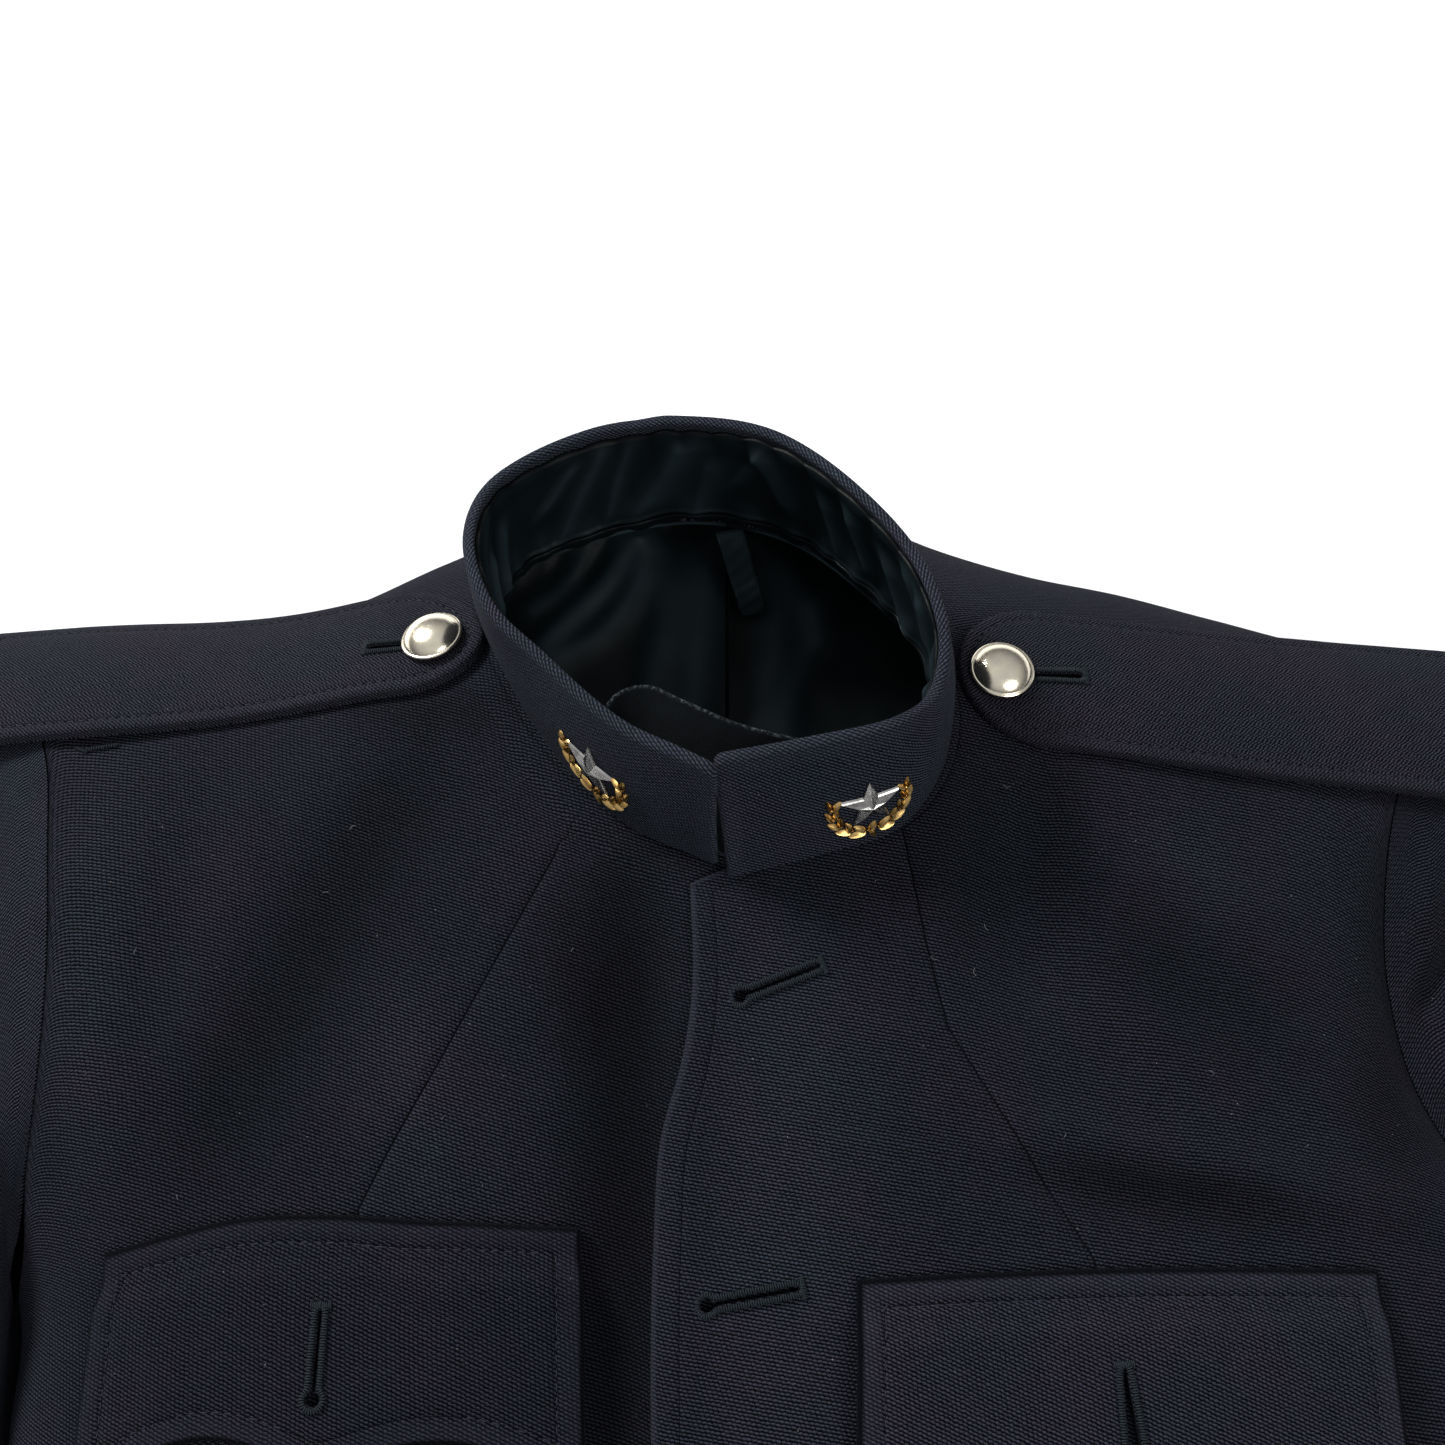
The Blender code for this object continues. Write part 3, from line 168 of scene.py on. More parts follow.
def back_height(x, y):
    """Height of the outer face of the layer that rests, curled up at its edges."""
    fold = fold_height(y)
    level = rounded(side_distance(x, y) / (fold * 1.5)) * rounded((shoulder_at(x) - y) / (fold * 1.5))
    return (fold - SEAM / 2) * (1 - level)


def lay(height, plan, depth, upward=True):
    """Put plan points on a height field, moved inwards along its normal by depth."""
    plan = np.asarray(plan, dtype=float)
    x, y = plan[..., 0], plan[..., 1]
    step = 2e-7
    z = height(x, y)
    slope_x = (height(x + step, y) - height(x - step, y)) / (2 * step)
    slope_y = (height(x, y + step) - height(x, y - step)) / (2 * step)
    normal = np.stack([-slope_x, -slope_y, np.ones_like(z)], axis=-1)
    if not upward:
        normal = -normal
    normal = unit(normal)
    return np.stack([x, y, z], axis=-1) - normal * np.asarray(depth)[..., None]


# x, y, lean x, lean y of the collar's foot from the wearer's right end round to the left end
COLLAR = np.array([
    (-0.0018, 0.1129, 0.0000, 0.0141), (-0.0274, 0.1255, -0.0019, 0.0169),
    (-0.0477, 0.1452, -0.0027, 0.0158), (-0.0627, 0.1683, -0.0040, 0.0098),
    (-0.0720, 0.1905, -0.0016, 0.0111), (-0.0692, 0.2163, 0.0004, 0.0098),
    (-0.0402, 0.2352, -0.0001, 0.0118), (-0.0057, 0.2400, -0.0041, 0.0089),
    (0.0249, 0.2292, -0.0076, 0.0111), (0.0460, 0.2084, -0.0062, 0.0081),
    (0.0627, 0.1843, -0.0063, 0.0050), (0.0676, 0.1622, -0.0061, 0.0035),
    (0.0644, 0.1436, -0.0067, 0.0056), (0.0512, 0.1245, -0.0045, 0.0170),
    (0.0284, 0.1162, -0.0058, 0.0200), (0.0016, 0.1094, -0.0040, 0.0225),
])
COLLAR_WALL = 0.003
LINING = 0.001
collar_steps = np.linalg.norm(np.diff(COLLAR[:, :2], axis=0), axis=1)
collar_length = float(collar_steps.sum())
collar_keys = np.concatenate([[0.0], np.cumsum(collar_steps)]) / collar_length
collar_foot = table_curve(collar_keys, COLLAR[:, :2])


def collar_place(share, inset):
    """Plan point of the collar's foot, moved in towards the neck, and the inward direction."""
    share = np.asarray(share, dtype=float)
    along = collar_foot(np.clip(share + 1e-3, 0, 1)) - collar_foot(np.clip(share - 1e-3, 0, 1))
    along = unit(along)
    inward = np.stack([along[..., 1], -along[..., 0]], axis=-1)
    return collar_foot(share) + inward * np.asarray(inset)[..., None], inward


def neck_curve(shares):
    shares = np.asarray(shares, dtype=float)
    return collar_place(shares, np.full(shares.shape, COLLAR_WALL + LINING + 2 * SEAM))[0]


# Where the shoulder seams meet the neck, as a share of the collar's length, and where they meet
# the armhole, as a share of its climb
NECK_POINT = {RIGHT: 0.262, LEFT: 0.688}
SEAM_END = 0.86
UNDERARM = {RIGHT: -0.006, LEFT: -0.002}
SHOULDER_END = {RIGHT: 0.2325, LEFT: 0.2265}
FRONT_ARMHOLE = {
    RIGHT: [(0.1955, 0.0060), (0.1924, 0.0309), (0.1893, 0.0573), (0.1901, 0.0917), (0.1946, 0.1203),
            (0.2034, 0.1529), (0.2165, 0.1740), (0.2270, 0.1900)],
    LEFT: [(0.2240, 0.0110), (0.2030, 0.0300), (0.1906, 0.0520), (0.1865, 0.0790), (0.1896, 0.1080),
           (0.1975, 0.1370), (0.2100, 0.1620), (0.2210, 0.1850)],
}
BACK_ARMHOLE = {
    RIGHT: [(0.1960, 0.0080), (0.1930, 0.0300), (0.1930, 0.0700), (0.1960, 0.1100), (0.2060, 0.1500),
            (0.2190, 0.1830)],
    LEFT: [(0.2240, 0.0100), (0.2080, 0.0300), (0.1990, 0.0600), (0.1990, 0.1000), (0.2050, 0.1400),
           (0.2150, 0.1750)],
}


def armhole_curve(side, table):
    start = (side_fold[side](UNDERARM[side]), UNDERARM[side])
    end = (SHOULDER_END[side], shoulder_at(side * SHOULDER_END[side]))
    return smooth_curve(np.array([start, *table[side], end]) * (side, 1))


front_armhole = {side: armhole_curve(side, FRONT_ARMHOLE) for side in WEARER}
back_armhole = {side: armhole_curve(side, BACK_ARMHOLE) for side in WEARER}


def finished(name, mesh, finish, sharp=60):
    """Shade a mesh smooth up to an angle in degrees, and make a piece of it."""
    if sharp:
        mesh.shade_smooth()
        mesh.set_sharp_from_angle(angle=math.radians(sharp))
    mesh.materials.append(finish)
    piece = bpy.data.objects.new(name, mesh)
    bpy.context.collection.objects.link(piece)
    return piece


def mark_points(mesh, marks):
    for mark, values in marks.items():
        mesh.attributes.new(mark, "FLOAT", "POINT").data.foreach_set("value", values)


def cloth_mesh(name, outer, inner, metres, finish, ring=False, marks=None):
    """Close two matching grids into one wall, with the weave's place in metres as its UV map."""
    rows, columns = outer.shape[:2]
    spans = columns if ring else columns - 1
    row, column = np.meshgrid(np.arange(rows - 1), np.arange(spans), indexing="ij")
    row, column = row.ravel(), column.ravel()
    skin = rows * columns
    at = lambda r, c: r * columns + c % columns
    low, high = (row, column), (row + 1, column + 1)
    corners = [(low[0], low[1]), (low[0], high[1]), (high[0], high[1]), (high[0], low[1])]
    faces = [np.stack([at(r, c) for r, c in corners], 1),
             np.stack([at(r, c) + skin for r, c in corners[::-1]], 1)]
    places = [np.stack([r * (columns + 1) + c for r, c in corners], 1),
              np.stack([r * (columns + 1) + c for r, c in corners[::-1]], 1)]
    edge = np.arange(spans)
    foot, head = np.zeros_like(edge), np.full_like(edge, rows - 1)
    rims = [((foot, edge + 1), (foot, edge)), ((head, edge), (head, edge + 1))]
    if not ring:
        edge = np.arange(rows - 1)
        first, last = np.zeros_like(edge), np.full_like(edge, columns - 1)
        rims += [((edge, first), (edge + 1, first)), ((edge + 1, last), (edge, last))]
    for start, end in rims:
        faces.append(np.stack([at(*start), at(*end), at(*end) + skin, at(*start) + skin], 1))
        place = [start, end, end, start]
        places.append(np.stack([r * (columns + 1) + c for r, c in place], 1))
    faces, places = np.concatenate(faces), np.concatenate(places)
    points = np.concatenate([outer.reshape(-1, 3), inner.reshape(-1, 3)])
    one = outer[1:, 1:] - outer[:-1, :-1]
    two = outer[1:, :-1] - outer[:-1, 1:]
    facing = (np.cross(one, two) * (outer - inner)[:-1, :-1]).sum()
    if facing < 0:
        faces, places = faces[:, ::-1], places[:, ::-1]
    if metres.shape[1] == columns:
        metres = np.concatenate([metres, metres[:, -1:]], axis=1)
    mesh = bpy.data.meshes.new(name)
    mesh.vertices.add(len(points))
    mesh.vertices.foreach_set("co", points.ravel())
    mesh.loops.add(faces.size)
    mesh.loops.foreach_set("vertex_index", faces.ravel())
    mesh.polygons.add(len(faces))
    mesh.polygons.foreach_set("loop_start", np.arange(0, faces.size, 4))
    mesh.update(calc_edges=True)
    weave = mesh.uv_layers.new(name="weave")
    weave.data.foreach_set("uv", metres.reshape(-1, 2)[places.ravel()].ravel())
    mark_points(mesh, {mark: np.tile(values.ravel(), 2) for mark, values in (marks or {}).items()})
    mesh.validate()
    return finished(name, mesh, finish)


def unrolled(grid):
    """Places on the flat cloth: run along each row and each column of a grid of points."""
    across, down = np.diff(grid, axis=1), np.diff(grid, axis=0)
    u = np.sign(across[..., 0]) * np.hypot(across[..., 0], across[..., 2])
    v = np.sign(down[..., 1]) * np.hypot(down[..., 1], down[..., 2])
    u = np.concatenate([grid[:, :1, 0], grid[:, :1, 0] + np.cumsum(u, axis=1)], axis=1)
    v = np.concatenate([grid[:1, :, 1], grid[:1, :, 1] + np.cumsum(v, axis=0)], axis=0)
    return np.stack([u, v], axis=-1)


class Tree:
    """Small steps for joining a tree of nodes."""

    def __init__(self, tree):
        self.tree = tree

    def feed(self, made, inputs):
        """Link or set a node's inputs, by name or number."""
        for key, value in dict(inputs).items():
            if isinstance(value, bpy.types.NodeSocket):
                self.tree.links.new(value, made.inputs[key])
            else:
                made.inputs[key].default_value = value

    def node(self, kind, inputs=(), **settings):
        made = self.tree.nodes.new(kind)
        for name, value in settings.items():
            setattr(made, name, value)
        self.feed(made, inputs)
        return made

    def math(self, operation, first, second=0.0, third=0.0, clamp=False):
        made = self.node("ShaderNodeMath", {0: first, 1: second, 2: third}, operation=operation,
                         use_clamp=clamp)
        return made.outputs[0]

    def noise(self, vector, scale, detail=2.0, roughness=0.5):
        made = self.node("ShaderNodeTexNoise",
                         {"Vector": vector, "Scale": scale, "Detail": detail, "Roughness": roughness})
        return made.outputs["Fac"]

    def blend(self, share, first, second):
        return self.node("ShaderNodeMix", {0: share, 6: first, 7: second}, data_type="RGBA").outputs[2]

    def mark(self, name):
        return self.node("ShaderNodeAttribute", attribute_name=name).outputs["Fac"]

    def vector(self, operation, first, second):
        made = self.node("ShaderNodeVectorMath", {0: first, 1: second}, operation=operation)
        return made.outputs[0]

    def scaled(self, vector, strength):
        made = self.node("ShaderNodeVectorMath", {0: vector, "Scale": strength}, operation="SCALE")
        return made.outputs[0]

    def bump(self, height):
        return self.node("ShaderNodeBump", {"Height": height, "Distance": 1.0}).outputs[0]


def new_finish(name, fixed):
    """A material with some of its shader's values fixed, its tree, and the shader itself."""
    made = bpy.data.materials.new(name)
    made.use_nodes = True
    tree = Tree(made.node_tree)
    shader = made.node_tree.nodes["Principled BSDF"]
    tree.feed(shader, fixed)
    return made, tree, shader


def wool_weave_group():
    """Twilled wool: diagonal rows of small yarn loops under a fine pale fuzz with specks of lint."""
    group = bpy.data.node_groups.new("wool twill", "ShaderNodeTree")
    face = group.interface
    for name, kind, value in (("Place", "NodeSocketVector", None), ("Twill Angle", "NodeSocketFloat", 0.0),
                              ("Twill Pitch", "NodeSocketFloat", 0.001),
                              ("Yarn Length", "NodeSocketFloat", 0.0015),
                              ("Gap Colour", "NodeSocketColor", (0.0024, 0.0026, 0.0052, 1)),
                              ("Yarn Colour", "NodeSocketColor", (0.018, 0.019, 0.031, 1)),
                              ("Fuzz Colour", "NodeSocketColor", (0.045, 0.047, 0.062, 1)),
                              ("Lint", "NodeSocketFloat", 1.0)):
        socket = face.new_socket(name=name, in_out="INPUT", socket_type=kind)
        if value is not None:
            socket.default_value = value
    face.new_socket(name="Colour", in_out="OUTPUT", socket_type="NodeSocketColor")
    face.new_socket(name="Height", in_out="OUTPUT", socket_type="NodeSocketFloat")
    tree = Tree(group)
    given = tree.node("NodeGroupInput").outputs
    wander = tree.node("ShaderNodeTexNoise", {"Vector": given["Place"], "Scale": 900.0, "Detail": 1.0})
    shift = tree.vector("SUBTRACT", wander.outputs["Color"], (0.5, 0.5, 0.5))
    moved = tree.vector("ADD", given["Place"], tree.scaled(shift, 0.00045))
    turned = tree.node("ShaderNodeVectorRotate", {"Vector": moved, "Angle": given["Twill Angle"]},
                       rotation_type="Z_AXIS")
    parts = tree.node("ShaderNodeSeparateXYZ", {0: turned.outputs[0]}).outputs
    line = tree.math("DIVIDE", parts[1], given["Twill Pitch"])
    number = tree.math("FLOOR", line)
    across = tree.math("MULTIPLY", tree.math("PINGPONG", line, 0.5), 2.0)
    run = tree.math("DIVIDE", parts[0], given["Yarn Length"])
    run = tree.math("MULTIPLY_ADD", number, 0.38, run)
    along = tree.math("MULTIPLY", tree.math("PINGPONG", run, 0.5), 2.0)
    ridge = tree.math("POWER", across, 1.2)
    bead = tree.math("MULTIPLY_ADD", tree.math("POWER", along, 0.7), 0.75, 0.25)
    bump = tree.math("MULTIPLY", ridge, bead)
    cloud = tree.noise(given["Place"], 130.0, 3.0)
    fine = tree.noise(given["Place"], 2600.0, 2.0)
    grain = tree.math("MULTIPLY_ADD", fine, 0.8, -0.40)
    height = tree.math("ADD", bump, tree.math("MULTIPLY", grain, 0.5))
    tone = tree.math("MULTIPLY_ADD", bump, 3.1, tree.math("MULTIPLY_ADD", grain, 1.0, -0.56))
    tone = tree.math("ADD", tone, tree.math("MULTIPLY_ADD", cloud, 0.30, -0.15), clamp=True)
    colour = tree.blend(tone, given["Gap Colour"], given["Yarn Colour"])
    dye = tree.noise(given["Place"], 420.0)
    patch = tree.noise(given["Place"], 30.0, 4.0)
    warm = tree.math("MULTIPLY_ADD", patch, 3.2, -1.4)
    warm = tree.math("ADD", warm, tree.math("MULTIPLY_ADD", dye, 1.6, -0.6), clamp=True)
    tint = tree.blend(warm, (0.84, 1.01, 0.97, 1.0), (1.08, 0.97, 1.03, 1.0))
    dyed = tree.vector("MULTIPLY", colour, tint)
    hair = tree.noise(given["Place"], 1500.0, 4.0, 0.8)
    fuzz = tree.math("MULTIPLY_ADD", hair, 5.0, -2.75, clamp=True)
    fuzzed = tree.blend(tree.math("MULTIPLY", fuzz, 0.45), dyed, given["Fuzz Colour"])
    specks = tree.node("ShaderNodeTexVoronoi", {"Vector": given["Place"], "Scale": 150.0}, feature="F1")
    near = tree.math("LESS_THAN", specks.outputs["Distance"], 0.028)
    lint = tree.math("MULTIPLY", near, given["Lint"])
    linted = tree.blend(tree.math("MULTIPLY", lint, 0.35), fuzzed, (0.30, 0.29, 0.27, 1.0))
    tree.node("NodeGroupOutput", {"Colour": linted, "Height": height})
    return group


wool_weave = wool_weave_group()
WEAVE_RELIEF = 0.00042
# Paler turned edges: part rubbed wear, part painted highlight where the rolled edge catches the light.
RUBBED_AND_HIGHLIGHT_REACH = 0.0062
GAP_COLOUR = (0.0006, 0.0007, 0.0014)
YARN_COLOUR = (0.0302, 0.0306, 0.0424)
FUZZ_COLOUR = (0.045, 0.047, 0.062)
RUBBED_AND_HIGHLIGHT_COLOUR = (0.034, 0.036, 0.050)
# Dark seam gaps, and the painted shadow line round the flaps' rims.
SEAM_GAP_AND_PAINTED_SHADOW = (0.0013, 0.0014, 0.0026, 1.0)


def wool(name, angle, pitch=0.00094, yarn=0.00134, lightness=1.0, seams=(), edge_rub_and_highlight=0.0, painted_light_and_shade=False,
         cast=(1, 1, 1)):
    """Navy wool for one piece, with the cast its dye took. Seams are marks with half the width of the gap,
    half the width of the roll beside it and how far it sinks; the gap is painted dark, a dark joint in the
    seams and a painted shadow line on the flaps' rims. Edge rub and highlight is how much paler a turned
    edge is painted: part rubbed wear, part painted highlight where the edge catches the light. Painted light
    and shade is a mark that paints the surface lighter where light falls and darker where shade lies."""
    made, tree, shader = new_finish(name, {
        "Roughness": 0.88, "Specular IOR Level": 0.03, "Sheen Weight": 0.022, "Sheen Roughness": 0.45,
        "Sheen Tint": (0.62, 0.66, 0.80, 1),
    })
    shade = lambda rgb: (*(c * lightness * part for c, part in zip(rgb, cast)), 1)
    cloth = tree.node("ShaderNodeGroup", node_tree=wool_weave)
    tree.feed(cloth, {
        "Place": tree.node("ShaderNodeUVMap", uv_map="weave").outputs[0],
        "Twill Angle": math.radians(angle), "Twill Pitch": pitch, "Yarn Length": yarn,
        "Gap Colour": shade(GAP_COLOUR), "Yarn Colour": shade(YARN_COLOUR),
        "Fuzz Colour": shade(FUZZ_COLOUR),
    })
    colour, height = cloth.outputs["Colour"], cloth.outputs["Height"]
    height = tree.math("MULTIPLY", height, WEAVE_RELIEF)
    # Painted light and shade: the colour is scaled up where light falls and down where shade lies.
    if painted_light_and_shade:
        colour = tree.scaled(colour, tree.math("ADD", tree.mark("painted_light_and_shade"), 1.0))
    # Paler turned edge: part rubbed wear, part painted highlight.
    if edge_rub_and_highlight:
        rub_and_highlight = tree.math("SUBTRACT", 1.0, tree.math("DIVIDE", tree.mark("edge"), RUBBED_AND_HIGHLIGHT_REACH), clamp=True)
        rub_and_highlight = tree.math("MULTIPLY", tree.math("POWER", rub_and_highlight, 0.35), edge_rub_and_highlight)
        colour = tree.blend(rub_and_highlight, colour, shade(RUBBED_AND_HIGHLIGHT_COLOUR))
    # Seam gaps are painted dark: dark joints in the seams, and a painted shadow line on the flaps' rims.
    for mark, gap, roll, sink in seams:
        reach = tree.math("ABSOLUTE", tree.mark(mark))
        inside = tree.math("SUBTRACT", 1.0, tree.math("DIVIDE", reach, gap), clamp=True)
        deep = tree.math("MULTIPLY", inside, 2.0, clamp=True)
        colour = tree.blend(deep, colour, SEAM_GAP_AND_PAINTED_SHADOW)
        beside = tree.math("SUBTRACT", 1.0, tree.math("DIVIDE", reach, roll), clamp=True)
        height = tree.math("MULTIPLY_ADD", tree.math("POWER", beside, 2.0), -sink, height)
        height = tree.math("MULTIPLY_ADD", inside, -sink / 2, height)
    tree.feed(shader, {"Base Color": colour, "Normal": tree.bump(height)})
    return made


NECK_COLUMNS = (0.34, 0.66)
BACK_ROWS = np.concatenate([np.linspace(0, 0.6, 41), np.linspace(0.61, 0.9, 30),
                            1 - 0.1 * np.linspace(0.93, 0, 24) ** 1.6])
BACK_TURNS = np.linspace(0.004, 1, 44) ** 1.3
curl_columns = np.array([0.0, 0.002, 0.005, 0.009, 0.014, 0.021, 0.030, 0.042])
half_back = np.concatenate([curl_columns, np.linspace(0.055, NECK_COLUMNS[0], 46)[:-1]])
back_columns = np.concatenate([half_back, np.linspace(*NECK_COLUMNS, 91), 1 - half_back[::-1]])


def back_edge(side, rise):
    """Side seam and back armhole as one line from the hem to the shoulder fold."""
    y = HEM + (UNDERARM[side] - HEM) * np.clip(rise / 0.6, 0, 1)
    seam = np.stack([side * side_fold[side](y), y], axis=-1)
    climb = (rise - 0.6) / 0.4
    return np.where((climb > 0)[..., None], back_armhole[side](np.clip(climb, 0, 1)), seam)


def shoulder_fold_point(share):
    x = -SHOULDER_END[RIGHT] + share * (SHOULDER_END[RIGHT] + SHOULDER_END[LEFT])
    return np.stack([x, shoulder_at(x)], axis=-1)


def back_plan(shares, rises):
    """Plan points of the back from hem to shoulder fold, blended from its four edges."""
    share, rise = np.meshgrid(shares, rises)
    right, left = back_edge(RIGHT, rise), back_edge(LEFT, rise)
    share, rise = share[..., None], rise[..., None]
    corners = shoulder_fold_point(np.zeros(1))[0], shoulder_fold_point(np.ones(1))[0]
    high = corners[0] * (1 - share) + corners[1] * share
    fold = shoulder_fold_point(share[..., 0])
    return (1 - share) * right + share * left + rise * (fold - high)


def back_top(share):
    """The back's upper edge: right shoulder seam, back of the neck, left shoulder seam."""
    low, high = NECK_COLUMNS
    if share < low:
        end, neck = front_armhole[RIGHT](SEAM_END), neck_curve(NECK_POINT[RIGHT])
        return end + (neck - end) * share / low
    if share > high:
        end, neck = front_armhole[LEFT](SEAM_END), neck_curve(NECK_POINT[LEFT])
        return neck + (end - neck) * (share - high) / (1 - high)
    way = (share - low) / (high - low)
    return neck_curve(NECK_POINT[RIGHT] + (NECK_POINT[LEFT] - NECK_POINT[RIGHT]) * way)


def back_faces(shares, rises, turns, depth, swell=None):
    """Points of the back at a depth inside its outer face, under the body and over the fold."""
    below = back_plan(shares, rises)
    fold = shoulder_fold_point(shares)
    top = np.array([back_top(share) for share in shares])
    strip = fold + (top - fold) * np.asarray(turns)[:, None, None]
    extra = [0.0, 0.0] if swell is None else [swell(below, False), swell(strip, True)]
    low = lay(back_height, below, depth + extra[0] * np.ones(below.shape[:2]), upward=False)
    high = lay(front_height, strip, depth + extra[1] * np.ones(strip.shape[:2]))
    return np.concatenate([low, high])


outer = back_faces(back_columns, BACK_ROWS, BACK_TURNS, 0.0)
inner = back_faces(back_columns, BACK_ROWS, BACK_TURNS, CLOTH)
back = cloth_mesh("back_panel", outer, inner, unrolled(outer), wool("back_cloth", -14))
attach(back, "root")
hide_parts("back")


# The back lining: thin dark satin felled to the neck seam, with a seam down the centre back. It lies loose
# over the wool, so it billows in long soft folds, with a painted gleam along them.
# half width, height, x and y along the fold
BILLOWS = [
    (0.0048, 0.0040, [(-0.033, 0.248), (-0.038, 0.234), (-0.049, 0.220), (-0.062, 0.206)]),
    (0.0050, 0.0036, [(-0.028, 0.247), (-0.030, 0.229), (-0.040, 0.213), (-0.057, 0.201)]),
    (0.0085, 0.0036, [(-0.006, 0.242), (-0.008, 0.221), (-0.009, 0.201), (-0.011, 0.179)]),
    (0.0060, 0.0022, [(-0.022, 0.242), (-0.020, 0.221), (-0.024, 0.192), (-0.027, 0.174)]),
    (0.0040, 0.0018, [(-0.046, 0.247), (-0.051, 0.236), (-0.060, 0.225), (-0.066, 0.221)]),
    (0.0090, 0.0032, [(0.017, 0.232), (0.019, 0.213), (0.016, 0.192), (0.014, 0.177)]),
    (0.0055, 0.0020, [(0.008, 0.249), (0.016, 0.242), (0.027, 0.228), (0.035, 0.210)]),
    (0.0050, 0.0016, [(0.033, 0.221), (0.030, 0.202), (0.024, 0.188), (0.022, 0.174)]),
]


def draped(x, y, table):
    """Soft folds along curved lines, each with its half width, height and path."""
    total = np.zeros(np.broadcast(x, y).shape)
    for width, height, path in table:
        points = smooth_curve(path)(np.linspace(0, 1, 17))
        nearest = np.full(total.shape, np.inf)
        for (x0, y0), (x1, y1) in zip(points[:-1], points[1:]):
            share = ((x - x0) * (x1 - x0) + (y - y0) * (y1 - y0)) / ((x1 - x0) ** 2 + (y1 - y0) ** 2)
            share = np.clip(share, 0, 1)
            nearest = np.minimum(nearest, np.hypot(x - x0 - share * (x1 - x0), y - y0 - share * (y1 - y0)))
        total = total + height * np.exp(-(nearest / width) ** 2)
    return total


def satin_sheen_group():
    """Satin: fine threads, faint cross lines, and slow changes of tone."""
    group = bpy.data.node_groups.new("satin", "ShaderNodeTree")
    group.interface.new_socket(name="Place", in_out="INPUT", socket_type="NodeSocketVector")
    for name, value in (("Dark", (0.0020, 0.0036, 0.0042, 1)), ("Light", (0.0062, 0.0098, 0.0112, 1))):
        socket = group.interface.new_socket(name=name, in_out="INPUT", socket_type="NodeSocketColor")
        socket.default_value = value
    group.interface.new_socket(name="Colour", in_out="OUTPUT", socket_type="NodeSocketColor")
    group.interface.new_socket(name="Roughness", in_out="OUTPUT", socket_type="NodeSocketFloat")
    group.interface.new_socket(name="Height", in_out="OUTPUT", socket_type="NodeSocketFloat")
    tree = Tree(group)
    given = tree.node("NodeGroupInput").outputs
    thread = tree.noise(tree.vector("MULTIPLY", given["Place"], (9.0, 1.0, 1.0)), 900.0)
    weft = tree.noise(tree.vector("MULTIPLY", given["Place"], (1.0, 8.0, 1.0)), 420.0)
    slow = tree.noise(given["Place"], 60.0, 3.0)
    tone = tree.math("MULTIPLY_ADD", thread, 0.6, tree.math("MULTIPLY_ADD", slow, 0.8, -0.25), clamp=True)
    colour = tree.blend(tone, given["Dark"], given["Light"])
    rough = tree.math("MULTIPLY_ADD", weft, 0.24, 0.32)
    height = tree.math("ADD", tree.math("MULTIPLY", thread, 0.5), weft)
    tree.node("NodeGroupOutput", {"Colour": colour, "Roughness": rough, "Height": height})
    return group


satin_sheen = satin_sheen_group()


def satin(name, mark=None, gloss=0.10, lightness=1.0, painted_gleam_and_shade=False):
    """Dark satin for one piece; a mark is a seam line, and the painted gleam and shade a mark that scales
    its colour: painted highlight along folds, painted shade in hollows.
    """
    made, tree, shader = new_finish(name, {"Specular IOR Level": gloss})
    place = tree.node("ShaderNodeUVMap", uv_map="weave").outputs[0]
    cloth = tree.node("ShaderNodeGroup", {"Place": place}, node_tree=satin_sheen)
    for shade in ("Dark", "Light"):
        socket = cloth.inputs[shade]
        socket.default_value = [lightness * value for value in socket.default_value]
    colour = cloth.outputs["Colour"]
    height = tree.math("MULTIPLY", cloth.outputs["Height"], 0.00006)
    if painted_gleam_and_shade:
        colour = tree.scaled(colour, tree.mark("painted_gleam_and_shade"))
    if mark:
        reach = tree.math("ABSOLUTE", tree.mark(mark))
        near = tree.math("SUBTRACT", 1.0, tree.math("DIVIDE", reach, 0.0007), clamp=True)
        colour = tree.blend(near, colour, (0.0008, 0.0012, 0.0014, 1.0))
        height = tree.math("MULTIPLY_ADD", near, -0.0006, height)
    tree.feed(shader, {"Base Color": colour, "Roughness": cloth.outputs["Roughness"],
                       "Normal": tree.bump(height)})
    return made


def billow(plan, over):
    """How far the lining stands off the wool, nothing at the neck seam and its outer edges."""
    x, y = plan[..., 0], plan[..., 1]
    rise = draped(x, y, BILLOWS)
    fine = 0.00024 * np.sin(x * 260 + y * 90) * np.sin(y * 150 - x * 60)
    inside = smooth_step(0.115 - np.abs(x), 0.0, 0.03) * smooth_step(y, 0.035, 0.075)
    gathers = np.sin(np.pi * x / 0.011 + 0.8 * np.sin(x * 90)) ** 2
    rise = rise + 0.0007 * gathers * smooth_step(y, 0.222, 0.246)
    if over:
        share = np.linspace(0, 1, plan.shape[0])[:, None]
        inside = inside * (1 - smooth_step(share, 0.45, 0.95))
    return np.maximum(rise + fine, 0.0) * inside


lining_columns = np.linspace(0.245, 0.755, 210)
lining_rows = np.concatenate([np.linspace(0.66, 0.9, 72), 1 - 0.1 * np.linspace(0.97, 0, 46) ** 1.6])
lining_turns = np.linspace(0.005, 1, 60) ** 1.3
outer = back_faces(lining_columns, lining_rows, lining_turns, CLOTH + SEAM, billow)
inner = back_faces(lining_columns, lining_rows, lining_turns, CLOTH + SEAM + LINING, billow)
middle = (outer[..., 0] - 0.0016) * np.ones(outer.shape[:2])
x, y = outer[..., 0], outer[..., 1]
